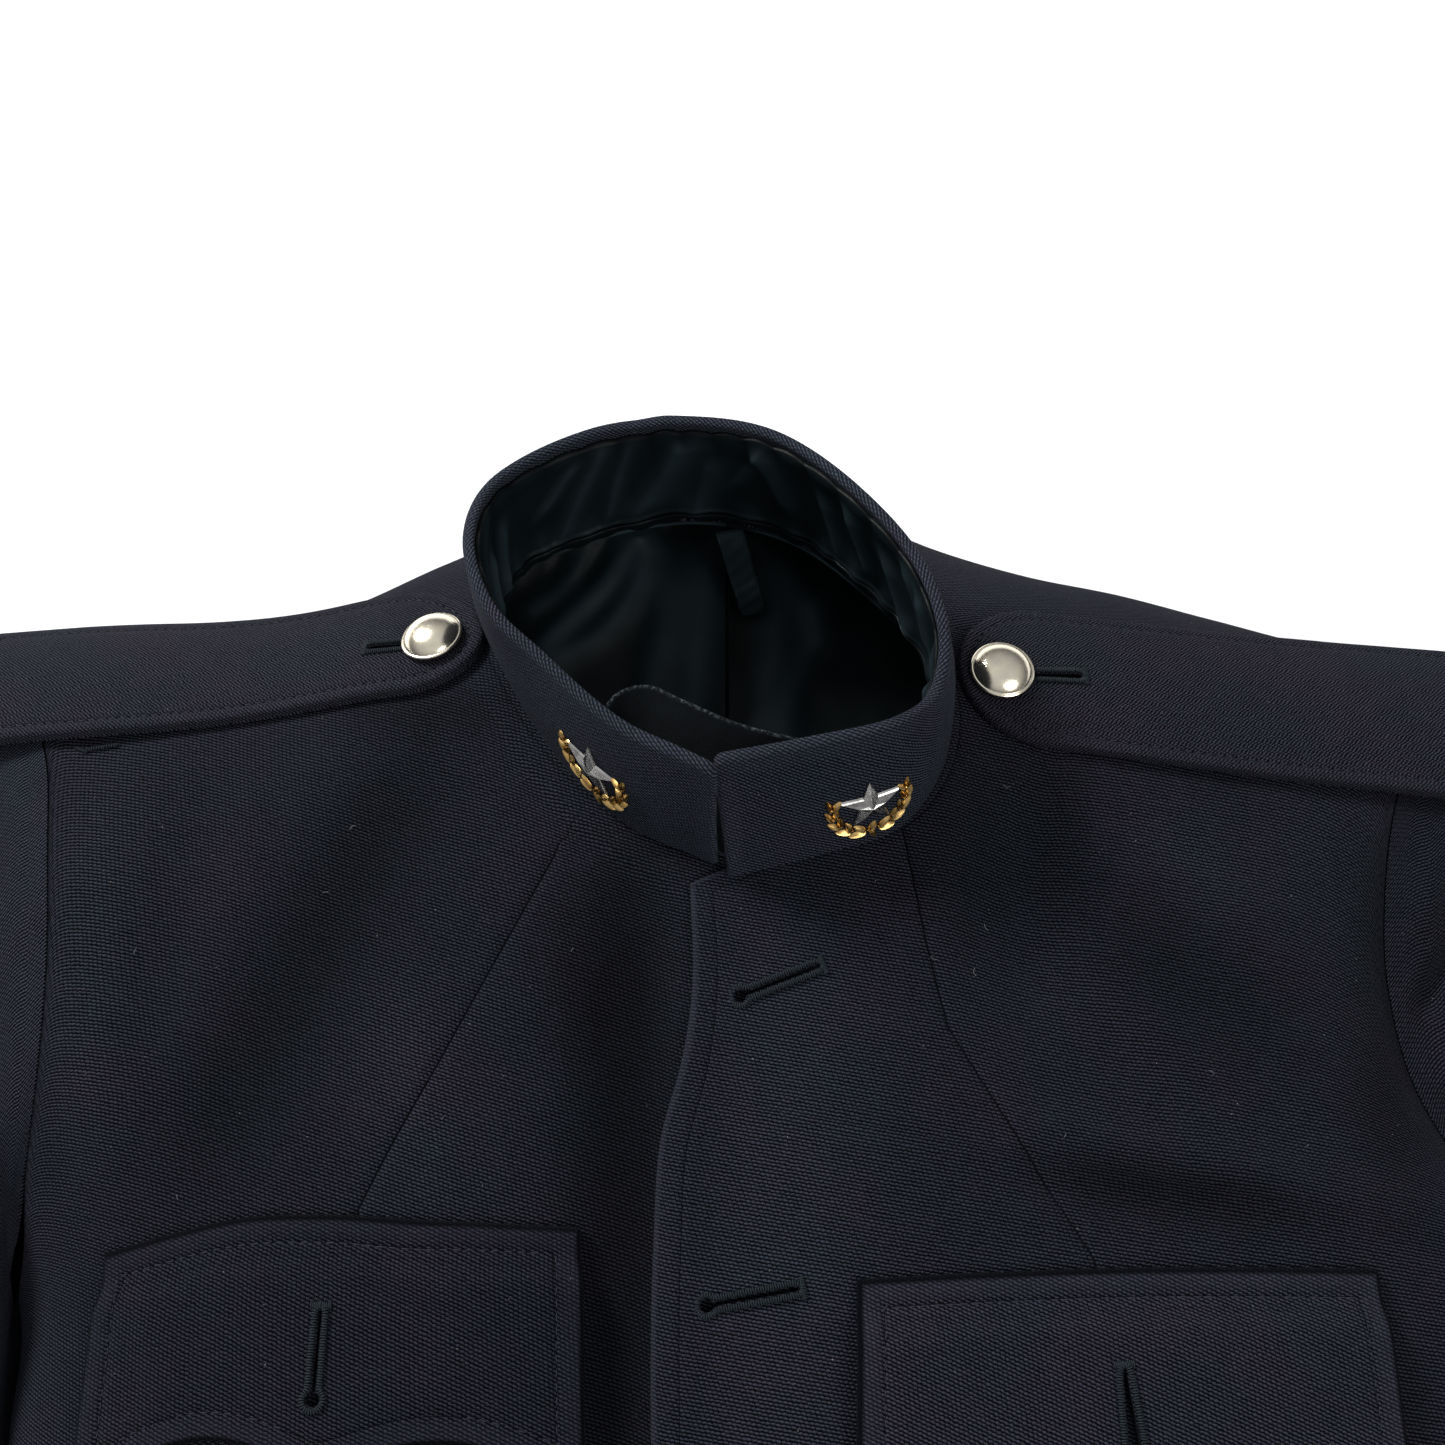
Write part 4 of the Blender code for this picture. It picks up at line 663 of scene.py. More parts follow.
# Painted gleam and shade on the back lining: painted highlight along the billows and over the wearer's left
# half, painted shade just beside the centre seam.
painted_gleam_and_shade = 0.44 + draped(x, y, BILLOWS) * 400 + 0.12 * smooth_step(x, 0.010, 0.045)
painted_gleam_and_shade = painted_gleam_and_shade - 0.5 * smooth_step(x, 0.0016, 0.0026) * (1 - smooth_step(x, 0.007, 0.013))
painted_gleam_and_shade = np.maximum(painted_gleam_and_shade, 0.15)
back_lining = cloth_mesh("back_satin_lining", outer, inner, unrolled(outer),
                         satin("back_satin", "middle", 0.08, 2.0, painted_gleam_and_shade=True),
                         marks={"middle": middle, "painted_gleam_and_shade": painted_gleam_and_shade})
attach(back_lining, "root")
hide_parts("back_lining")


# The hanger loop: a satin ribbon with corded edges, doubled, caught in the neck seam and lying
# down over the lining.
RIBBON_HALF = 0.0045
ribbon_root = back_faces(np.array([0.5315]), [0.996], BACK_TURNS, CLOTH + LINING + 2 * SEAM)[-1, 0]
ribbon_root -= (0.0, 0.0006, 0.0018)
ribbon_tip = np.array([ribbon_root[0] + 0.0085, ribbon_root[1] - 0.0150, 0.0100])
along_ribbon = np.linspace(0, 1, 70)[:, None]
spine = ribbon_root + (ribbon_tip - ribbon_root) * along_ribbon
spine += np.array([0.0004, 0.0, -0.0020]) * np.sin(np.pi * along_ribbon)
spine[:, 2] += 0.0008 * np.sin(3.2 * np.pi * along_ribbon[:, 0])
direction = (ribbon_tip - ribbon_root) / np.linalg.norm(ribbon_tip - ribbon_root)
across = np.array([1.0, 0.0, 0.0]) - direction * direction[0]
across /= np.linalg.norm(across)
down = np.cross(across, direction)
down *= -np.sign(down[2])
widths = np.linspace(-1, 1, 26)
picot = 1 + 0.035 * np.sign(np.sin(np.arange(70) * 1.9))[:, None] * (np.abs(widths) > 0.97)
tip_round = rounded((1 - along_ribbon) / 0.10) * 0.25 + 0.75
plan = spine[:, None] + across * (widths * picot * tip_round)[..., None] * RIBBON_HALF
cord = 0.00022 * (np.abs(widths) > 0.86)
crown = 0.00045 * (1 - widths ** 2) + cord + 0.00012 * np.sin(along_ribbon * 40 + widths * 3)
outer = plan - down * (crown + 0.0004 * rounded((1 - np.abs(widths)) / 0.12))[..., None]
inner = plan + down * 0.0010
metres = np.stack(np.broadcast_arrays(widths * RIBBON_HALF, along_ribbon * 0.041), axis=-1)
loop = cloth_mesh("hanger_ribbon", outer, inner, metres, satin("loop_satin", gloss=0.30, lightness=3.0))
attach(loop, "root")
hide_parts("hanger_loop")


# The fronts: canvassed wool, the left lapped over the right and shaped by a dart from the collar
# to each breast pocket. The edge is turned and topstitched.
# x, y from the hem to the neck, and down each dart
FRONT_EDGE = {
    RIGHT: [(0.0180, -0.500), (0.0180, -0.300), (0.0180, -0.100), (0.0180, 0.000), (0.0190, 0.060),
            (0.0180, 0.1110)],
    LEFT: [(-0.0150, -0.500), (-0.0155, -0.350), (-0.0165, -0.200), (-0.0175, -0.060),
           (-0.0178, 0.0100), (-0.0162, 0.0379), (-0.0108, 0.0591), (-0.0082, 0.0795),
           (-0.0092, 0.1079)],
}
DART = {
    RIGHT: [(-0.0475, 0.1174), (-0.0720, 0.0700), (-0.0973, 0.0195)],
    LEFT: [(0.0514, 0.1232), (0.0565, 0.0920), (0.0620, 0.0680), (0.0985, 0.0070)],
}
FRONT_STITCH_INSET = 0.0070
# Painted light and shade on the fronts, lighter along ridges that face the light and darker in valleys,
# beside the overlap and under the collar: from x, y to x, y, half width, share
PAINTED_LIGHT_AND_SHADE = {
    RIGHT: [
        (-0.080, 0.162, -0.148, 0.012, 0.0200, -0.36), (-0.026, 0.130, -0.028, -0.080, 0.0150, -0.66),
        (-0.046, 0.110, -0.040, 0.060, 0.0120, -0.22), (-0.180, 0.140, -0.172, 0.030, 0.0100, 0.26),
        (-0.120, 0.165, -0.060, 0.160, 0.0090, -0.30), (-0.095, 0.085, -0.075, 0.020, 0.0120, 0.24),
    ],
    LEFT: [
        (0.018, 0.110, 0.014, -0.080, 0.0230, 0.34), (-0.016, 0.110, -0.026, -0.080, 0.0060, 0.20),
        (0.072, 0.140, 0.066, 0.090, 0.0120, -0.14), (0.110, 0.100, 0.160, 0.060, 0.0200, -0.26),
        (0.085, 0.028, 0.160, 0.018, 0.0090, -0.40), (0.190, 0.130, 0.180, 0.020, 0.0110, -0.40),
        (0.100, 0.160, 0.160, 0.140, 0.0100, -0.30), (0.100, 0.130, 0.150, 0.105, 0.0100, 0.18),
    ],
}
front_edge = {side: smooth_curve(FRONT_EDGE[side]) for side in WEARER}


def overlap_lift(x):
    """How far the left front stands up to lie over the edge of the right front."""
    return (CLOTH + SEAM) * (1 - smooth_step(x, 0.040, 0.085))


def left_front_height(x, y):
    return front_height(x, y) + overlap_lift(x)


panel_height = {RIGHT: front_height, LEFT: left_front_height}


def seam_line(plan, line):
    """Signed distance from a drawn seam, growing past its ends."""
    points = np.asarray(line, dtype=float)
    best = np.full(plan.shape[:2], 1.0)
    for start, end in zip(points, points[1:]):
        run = end - start
        length = np.linalg.norm(run)
        offset = plan - start
        along = (offset @ run) / length
        side = (offset[..., 0] * run[1] - offset[..., 1] * run[0]) / length
        beyond = np.maximum(np.maximum(-along, along - length), 0)
        reach = np.where(side < 0, -1, 1) * np.hypot(side, beyond)
        best = np.where(np.abs(reach) < np.abs(best), reach, best)
    return best


def forepart_lines(side, rows):
    """Matching points up the front edge and neckline, and up the side and armhole. Rows count from
    0 at the hem, by 10 at the underarm, 14 at the edge's top and 16 on the neck, to 24 at the seam."""
    start = 0.0 if side == RIGHT else 1.0
    edge = front_edge[side](np.where(rows < 10, rows * 0.082, 0.82 + 0.045 * (rows - 10)))
    neck = neck_curve(start + (NECK_POINT[side] - start) * (0.06 + 0.94 * np.clip((rows - 16) / 8, 0, 1)))
    corner = front_edge[side](1.0)
    share = np.clip((rows - 14) / 2, 0, 1)[:, None]
    inside = np.where((rows <= 14)[:, None], edge, corner + (neck - corner) * share)
    y = HEM + (UNDERARM[side] - HEM) * np.clip(rows / 10, 0, 1)
    seam = np.stack([side * side_fold[side](y), y], axis=-1)
    sleeve = front_armhole[side](SEAM_END * np.clip((rows - 10) / 14, 0, 1))
    return inside, np.where((rows <= 10)[:, None], seam, sleeve)


panel_rows = np.concatenate([np.linspace(0, 7.5, 46)[:-1], np.linspace(7.5, 10, 57)[:-1],
                             np.linspace(10, 14, 49)[:-1], np.linspace(14, 16, 13)[:-1],
                             np.linspace(16, 24, 60)])
panels = {}
for side in WEARER:
    inside, outside = forepart_lines(side, panel_rows)
    plan, edges = [], []
    for start, end in zip(inside, outside):
        width = np.linalg.norm(end - start)
        edge = float(rounding_at(end[1])) / width
        turned = np.array([0.0, 0.00025, 0.0006, 0.0011, 0.0018]) / width
        shares = np.concatenate([turned, np.linspace(0.0035 / width, 1 - edge, 50)[:-1],
                                 1 - edge * (1 - np.cos(np.linspace(math.pi / 2, 0, 58)))])
        plan.append(start + (end - start) * shares[:, None])
        edges.append(shares * width)
    plan, edges = np.array(plan), np.array(edges)
    plan[-1, :, 1] -= SEAM
    turn = 0.0009 * (1 - rounded(edges / 0.0012))
    facing = 0.0017 * (1 - smooth_step(edges, 0.003, 0.020)) * smooth_step(0.108 - plan[..., 1], 0.0, 0.010)
    facing = facing if side == LEFT else np.zeros_like(facing)
    outer = lay(panel_height[side], plan, turn - facing)
    inner = lay(panel_height[side], plan, CLOTH - turn)
    # Painted light and shade for this front: lighter along lit ridges, darker in shaded valleys, beside the
    # overlap and under the collar.
    painted_light_and_shade = np.clip(folds(plan[..., 0], plan[..., 1], PAINTED_LIGHT_AND_SHADE[side]), -0.62, 0.5)
    stitched = edges - FRONT_STITCH_INSET
    cloth = wool(f"front_cloth_{WEARER[side]}", 18 if side == RIGHT else 10, lightness=0.92,
                 edge_rub_and_highlight=0.38, painted_light_and_shade=True,
                 seams=(("dart", 0.00032, 0.0035, 0.0010), ("stitched", 0.00012, 0.0016, 0.0005)))
    panels[side] = cloth_mesh(f"forepart_{WEARER[side]}", outer, inner, unrolled(outer), cloth,
                              marks={"dart": seam_line(plan, DART[side]), "stitched": stitched,
                                     "painted_light_and_shade": painted_light_and_shade, "edge": edges * 3.2})


# The buttonholes of the left front and the flaps: keyholes cut through the cloth and worked
# round with close purl stitches over a cord, with a bar across the end.
# eye x, eye y, tail x, tail y, half the slit at the tail and at the eye
FRONT_HOLES = [(0.0048, 0.0762, 0.0268, 0.0846, 0.00050, 0.00045),
               (-0.0042, -0.0038, 0.0198, 0.0004, 0.00055, 0.00045)]
FRONT_HOLES += [(-0.0048, y, 0.0188, y + 0.0030, 0.00035, 0.00045) for y in (-0.0890, -0.1740, -0.2590)]
FLAP_HOLES = {RIGHT: [(-0.1043, -0.0262, -0.1037, -0.0048, 0.00030, 0.00045)],
              LEFT: [(0.1046, -0.0415, 0.1028, -0.0190, 0.00030, 0.00160)]}


def keyhole_axes(hole):
    """Eye and tail of a keyhole, and the directions along and across its slit."""
    eye, tail = np.array(hole[:2]), np.array(hole[2:4])
    run = (tail - eye) / np.linalg.norm(tail - eye)
    return eye, tail, run, np.array([-run[1], run[0]])


def keyhole(hole, grow=0.0):
    """Outline of a keyhole: a round eye and a slit to its tail."""
    eye, tail, run, across = keyhole_axes(hole)
    radius = 0.0017 + grow
    neck = min(hole[5] + grow, radius * 0.95)
    turn = math.asin(neck / radius)
    angles = np.linspace(turn, 2 * math.pi - turn, 22)
    ring = [eye + radius * (run * math.cos(a) + across * math.sin(a)) for a in angles]
    wide = hole[4] + grow
    start = radius * math.cos(turn)
    length = np.linalg.norm(tail - eye) + grow
    shares = np.linspace(0, 1, 14)[1:]
    slit = lambda share: neck + (wide - neck) * share ** 1.5
    centre = [eye + run * (start + (length - start) * s) for s in shares]
    half = [across * slit(s) * (1 if s < 1 else 0.6) for s in shares]
    lower = [point - reach for point, reach in zip(centre, half)]
    upper = [point + reach for point, reach in zip(centre, half)][::-1]
    return np.array(ring + lower + upper)


def keep_result(piece):
    """Give a piece the plain mesh that its modifier makes, and take the modifier off."""
    depsgraph = bpy.context.evaluated_depsgraph_get()
    done = bpy.data.meshes.new_from_object(piece.evaluated_get(depsgraph), preserve_all_data_layers=True,
                                           depsgraph=depsgraph)
    piece.modifiers.clear()
    piece.data = done


def ring_faces(levels, count):
    """Faces between closed rings of points, from the lowest ring to the highest."""
    return [(low + i, low + (i + 1) % count, low + count + (i + 1) % count, low + count + i)
            for low in range(0, (levels - 1) * count, count) for i in range(count)]


def shell_mesh(name, shells, finish, sharp):
    """One piece from closed shells of points and faces."""
    shape = bmesh.new()
    for points, faces in shells:
        verts = [shape.verts.new(point) for point in points]
        for face in faces:
            shape.faces.new([verts[index] for index in face])
    bmesh.ops.recalc_face_normals(shape, faces=shape.faces)
    mesh = bpy.data.meshes.new(name)
    shape.to_mesh(mesh)
    shape.free()
    return finished(name, mesh, finish, sharp)


def cut_keyholes(piece, holes, height, finish):
    """Cut the keyholes out of a sheet, and keep its weave and marks."""
    shells = []
    for hole in holes:
        outline = keyhole(hole)
        count = len(outline)
        level = float(height(np.array(hole[0]), np.array(hole[1])))
        points = [(x, y, level + reach) for reach in (-0.012, 0.012) for x, y in outline]
        ends = [range(count - 1, -1, -1), range(count, 2 * count)]
        shells.append((points, ring_faces(2, count) + ends))
    tool = shell_mesh("keyhole_tool", shells, finish, 0)
    cut = piece.modifiers.new("holes", "BOOLEAN")
    cut.operation = "DIFFERENCE"
    cut.solver = "EXACT"
    cut.object = tool
    keep_result(piece)
    bpy.data.objects.remove(tool, do_unlink=True)


def stitch_row_tree():
    """Stitches laid end to end or side by side along a path, each a soft pad of thread."""
    group = bpy.data.node_groups.new("stitch row", "GeometryNodeTree")
    face = group.interface
    face.new_socket(name="Path", in_out="INPUT", socket_type="NodeSocketGeometry")
    for name, value in (("Pitch", 0.0033), ("Length", 0.0026), ("Width", 0.0005), ("Height", 0.0004),
                        ("Turn", 0.0), ("Wobble", 0.08)):
        face.new_socket(name=name, in_out="INPUT", socket_type="NodeSocketFloat").default_value = value
    face.new_socket(name="Thread", in_out="INPUT", socket_type="NodeSocketMaterial")
    face.new_socket(name="Stitches", in_out="OUTPUT", socket_type="NodeSocketGeometry")
    tree = Tree(group)
    given = tree.node("NodeGroupInput").outputs
    curve = tree.node("GeometryNodeMeshToCurve", {0: given["Path"]})
    evenly = tree.node("GeometryNodeResampleCurve", {"Curve": curve.outputs[0], "Length": given["Pitch"]},
                       mode="LENGTH")
    pad = tree.node("GeometryNodeMeshIcoSphere", {"Radius": 0.5, "Subdivisions": 2})
    normal = tree.node("GeometryNodeInputNamedAttribute", {"Name": "normal"}, data_type="FLOAT_VECTOR")
    tangent = tree.node("GeometryNodeInputTangent")
    upright = tree.node("FunctionNodeAlignRotationToVector", {"Vector": normal.outputs[0]}, axis="Z")
    heading = tree.node("FunctionNodeAlignRotationToVector",
                        {"Rotation": upright.outputs[0], "Vector": tangent.outputs[0]},
                        axis="X", pivot_axis="Z")
    chance = tree.node("FunctionNodeRandomValue", {2: -1.0, 3: 1.0, "Seed": 11}, data_type="FLOAT")
    swing = tree.math("MULTIPLY", chance.outputs[1], given["Wobble"])
    swing = tree.math("ADD", swing, given["Turn"])
    euler = tree.node("ShaderNodeCombineXYZ", {"Z": swing})
    turned = tree.node("FunctionNodeRotateRotation", {0: heading.outputs[0], 1: euler.outputs[0]},
                       rotation_space="LOCAL")
    size = tree.node("ShaderNodeCombineXYZ",
                     {"X": given["Length"], "Y": given["Width"], "Z": given["Height"]})
    rows = tree.node("GeometryNodeInstanceOnPoints",
                     {"Points": evenly.outputs[0], "Instance": pad.outputs[0],
                      "Rotation": turned.outputs[0], "Scale": size.outputs[0]})
    real = tree.node("GeometryNodeRealizeInstances", {0: rows.outputs[0]})
    smooth = tree.node("GeometryNodeSetShadeSmooth", {0: real.outputs[0]})
    dressed = tree.node("GeometryNodeSetMaterial",
                        {"Geometry": smooth.outputs[0], "Material": given["Thread"]})
    tree.node("NodeGroupOutput", {"Stitches": dressed.outputs[0]})
    return group


stitch_row = stitch_row_tree()


def thread(name, colour):
    """Twisted thread, faintly glossy, darker between its turns."""
    made, tree, shader = new_finish(name, {"Roughness": 0.6, "Specular IOR Level": 0.15})
    plies = tree.noise(tree.node("ShaderNodeTexCoord").outputs["Object"], 3500.0, 2.0)
    tone = tree.blend(plies, tuple(c * 0.45 for c in colour) + (1,), tuple(c * 1.5 for c in colour) + (1,))
    tree.feed(shader, {"Base Color": tone, "Normal": tree.bump(tree.math("MULTIPLY", plies, 0.0002))})
    return made


navy_thread = thread("navy_thread", (0.016, 0.017, 0.027))
purl_thread = thread("purl_thread", (0.0115, 0.0165, 0.0205))


def sew(name, slot, paths, pitch, length, width, height, turn=0.0, wobble=0.08, finish=None):
    """Run stitches along paths of points with normals, and keep them as one plain mesh."""
    points, normals, edges = [], [], []
    for path, facing, closed in paths:
        first = len(points)
        points += [tuple(p) for p in path]
        normals += [tuple(n) for n in facing]
        edges += [(first + i, first + i + 1) for i in range(len(path) - 1)]
        if closed:
            edges.append((first + len(path) - 1, first))
    mesh = bpy.data.meshes.new(name)
    mesh.from_pydata(points, edges, [])
    layer = mesh.attributes.new("normal", "FLOAT_VECTOR", "POINT")
    layer.data.foreach_set("vector", np.array(normals).ravel())
    line = bpy.data.objects.new(name, mesh)
    bpy.context.collection.objects.link(line)
    work = line.modifiers.new("stitches", "NODES")
    work.node_group = stitch_row
    given = {"Pitch": pitch, "Length": length, "Width": width, "Height": height, "Turn": turn,
             "Wobble": wobble, "Thread": finish or navy_thread}
    for item in stitch_row.interface.items_tree:
        if item.in_out == "INPUT" and item.name in given:
            work[item.identifier] = given[item.name]
    keep_result(line)
    line.data.materials.clear()
    line.data.materials.append(finish or navy_thread)
    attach(line, "root")
    return line


def on_cloth(height, plan, lift):
    """Points and normals on a cloth's face, for a path drawn in plan."""
    face = lay(height, plan, np.zeros(len(plan)))
    above = lay(height, plan, np.full(len(plan), -1.0))
    return face + (above - face) * lift, above - face


def work_keyholes(name, slot, holes, height):
    """Purl round each keyhole, and a bar of close stitches across its tail."""
    purls, bars = [], []
    for hole in holes:
        purls.append((*on_cloth(height, keyhole(hole, 0.0011), 0.0005), True))
        tail, run, across = keyhole_axes(hole)[1:]
        ends = tail + run * 0.0012 + across * np.linspace(-0.0025, 0.0025, 6)[:, None]
        bars.append((*on_cloth(height, ends, 0.0003), False))
    sew(f"{name}_purl", slot, purls, 0.00066, 0.0019, 0.00058, 0.0012, math.pi / 2, 0.16, purl_thread)
    sew(f"{name}_bar", slot, bars, 0.00050, 0.0020, 0.00055, 0.0011, math.pi / 2, 0.10, purl_thread)


cut_keyholes(panels[LEFT], FRONT_HOLES, left_front_height, panels[LEFT].data.materials[0])
work_keyholes("front_holes", "front_cloth_left", FRONT_HOLES, left_front_height)
for side in WEARER:
    piece = panels[side]
    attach(piece, "root")
    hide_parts(f"front_{WEARER[side]}")
inset = front_edge[LEFT](np.linspace(0.01, 0.985, 300))
along = np.gradient(inset, axis=0)
along = unit(along)
inset = inset + np.stack([along[:, 1], -along[:, 0]], axis=-1) * FRONT_STITCH_INSET
sew("front_edge_stitching", "front_cloth_left", [(*on_cloth(left_front_height, inset, 0.00003), False)],
    0.0034, 0.0025, 0.00045, 0.00032)


# The breast pockets: patches of the same wool with a box pleat, topstitched round their edge.
# Their mouths lie under the flaps.
# x, y along the seam of the flap over each pocket
FLAP_TOP = {
    RIGHT: [(0.0383, 0.0159), (0.0719, 0.0172), (0.1039, 0.0190), (0.1266, 0.0183), (0.1469, 0.0143),
            (0.1656, 0.0097)],
    LEFT: [(0.0350, 0.0028), (0.0700, 0.0045), (0.1042, 0.0056), (0.1732, 0.0056)],
}
# inner x, outer x, y of each pocket's foot
POCKET_FOOT = {RIGHT: (0.0400, 0.1650, -0.140), LEFT: (0.0370, 0.1780, -0.150)}
POCKET_TOP = 0.020
POCKET_LIFT = 0.0006
POCKET_WALL = 0.0016
PLEAT_RISE = 0.0014
POCKET_STITCH_INSET = 0.006
# Pitch, length, width and height of a stitch
TOPSTITCH = (0.0034, 0.0023, 0.00040, 0.0003)
DEEPEST_DENT = -0.0014


def outline_distance(plan, outline):
    """Distance of each plan point from a closed outline."""
    run = np.roll(outline, -1, axis=0) - outline
    flat = plan.reshape(-1, 2)
    best = np.full(len(flat), 1.0)
    for a, d in zip(outline, run):
        square = max(float(d @ d), 1e-16)
        share = np.clip(((flat - a) @ d) / square, 0, 1)
        best = np.minimum(best, np.linalg.norm(flat - a - share[:, None] * d, axis=1))
    return best.reshape(plan.shape[:-1])


def rim_of(plan, step=3):
    """The outline of a grid of plan points."""
    edge = np.concatenate([plan[0], plan[1:, -1], plan[-1, -2::-1], plan[-2:0:-1, 0]])
    return edge[::step]


def inside_path(plan, distance, step=2):
    """The grid's outline moved in by a distance, as a closed path with soft corners."""
    edge = rim_of(plan, step)
    middle = plan.reshape(-1, 2).mean(axis=0)
    along = np.roll(edge, -2, axis=0) - np.roll(edge, 2, axis=0)
    along /= np.linalg.norm(along, axis=1, keepdims=True) + 1e-12
    inward = np.stack([-along[:, 1], along[:, 0]], axis=-1)
    if ((middle - edge) * inward).sum() < 0:
        inward = -inward
    moved = edge + inward * distance
    keep = outline_distance(moved[None], edge)[0] > distance * 0.93
    return moved[keep]


def raised_face(side, stand, dents=()):
    """Height field of a face that stands off a front, with dents of its own."""
    under = panel_height[side]
    return lambda x, y: under(x, y) + stand + np.maximum(folds(x, y, dents), DEEPEST_DENT)


# Steps that start close together, for the turned edges of a patch
ramp = 1 - np.cos(np.linspace(0, 0.48 * math.pi, 13))
pocket_columns = np.concatenate([0.04 * ramp, np.linspace(0.045, 0.955, 96), 1 - 0.04 * ramp[::-1]])
pocket_falls = np.concatenate([np.linspace(0, 0.95, 54), 1 - 0.049 * ramp[::-1]])
for side in WEARER:
    foot = POCKET_FOOT[side]
    top_inner = np.array(FLAP_TOP[side][0]) + (0.003, -POCKET_TOP)
    top_outer = np.array(FLAP_TOP[side][-1]) - (0.003, POCKET_TOP)
    width = foot[1] - foot[0]
    shares = pocket_columns
    cut = 0.022 * (1 - rounded(np.minimum(shares, 1 - shares) / (0.022 / width)))
    rows = []
    for fall in pocket_falls:
        start = top_inner + (np.array([foot[0], foot[2]]) - top_inner) * fall
        end = top_outer + (np.array([foot[1], foot[2]]) - top_outer) * fall
        row = start + (end - start) * shares[:, None]
        row[:, 1] += cut * fall ** 3
        rows.append(row * (side, 1))
    plan = np.array(rows)
    edge = outline_distance(plan, rim_of(plan))
    half = 0.019 / width
    crease = 0.0006 * np.exp(-((np.abs(shares - 0.5) - half - 0.003 / width) * width / 0.0012) ** 2)
    middle = 0.00054 * np.exp(-((shares - 0.5) * width / 0.0015) ** 2)
    bulk = np.minimum(edge / 0.02, 1) * 0.0006
    rise = PLEAT_RISE * smooth_step(half + 0.003 / width - np.abs(shares - 0.5), 0, 0.003 / width)
    lift = POCKET_WALL * (0.3 + 0.7 * rounded(edge / 0.0016)) + rise - crease - middle + bulk
    lift = lift - 0.0003 * np.exp(-((edge - POCKET_STITCH_INSET) / 0.0009) ** 2)
    lower = lay(panel_height[side], plan, np.full(plan.shape[:2], -POCKET_LIFT))
    upper = lay(panel_height[side], plan, -POCKET_LIFT - lift)
    cloth = wool(f"pocket_cloth_{WEARER[side]}", 20, seams=(("stitched", 0.00014, 0.0014, 0.0005),))
    pocket = cloth_mesh(f"patch_pocket_{WEARER[side]}", upper, lower, unrolled(upper), cloth,
                        marks={"stitched": edge - POCKET_STITCH_INSET})
    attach(pocket, "root")
    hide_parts(f"pocket_{WEARER[side]}")
    path = inside_path(plan, POCKET_STITCH_INSET)
    path = path[path[:, 1] < POCKET_TOP * -1.6]
    face = raised_face(side, POCKET_LIFT + POCKET_WALL + 0.0002)
    sew(f"pocket_stitching_{WEARER[side]}", f"pocket_cloth_{WEARER[side]}",
        [(*on_cloth(face, path, 0.0), False)], *TOPSTITCH)


# The pocket flaps: two layers of wool turned out and topstitched, caught in a seam above each
# pocket, with a point at each corner and at the middle, and a buttonhole in the middle point.
FLAP_WALL = 0.0024
FLAP_STITCH_INSET = 0.0070
THREAD_SINK = 0.0002
# Folds and dents in the flaps, on top of the chest's own
FLAP_FOLDS = [
    (-0.114, 0.008, -0.064, -0.010, 0.0042, -0.0011), (-0.060, -0.020, -0.110, -0.040, 0.0080, 0.0009),
    (-0.150, 0.000, -0.140, -0.036, 0.0070, 0.0008), (0.060, -0.006, 0.100, -0.028, 0.0070, -0.0007),
    (0.110, -0.010, 0.160, -0.030, 0.0080, 0.0009), (0.045, -0.028, 0.080, -0.045, 0.0060, 0.0008),
]


def flap_seat(drop):
    """How far a flap's inner face stands off the front at a drop below its seam: it steps up over
    the pocket's mouth."""
    covered = smooth_step(drop / POCKET_TOP, 0.35, 0.80)
    return POCKET_LIFT + (POCKET_WALL + PLEAT_RISE + SEAM) * covered


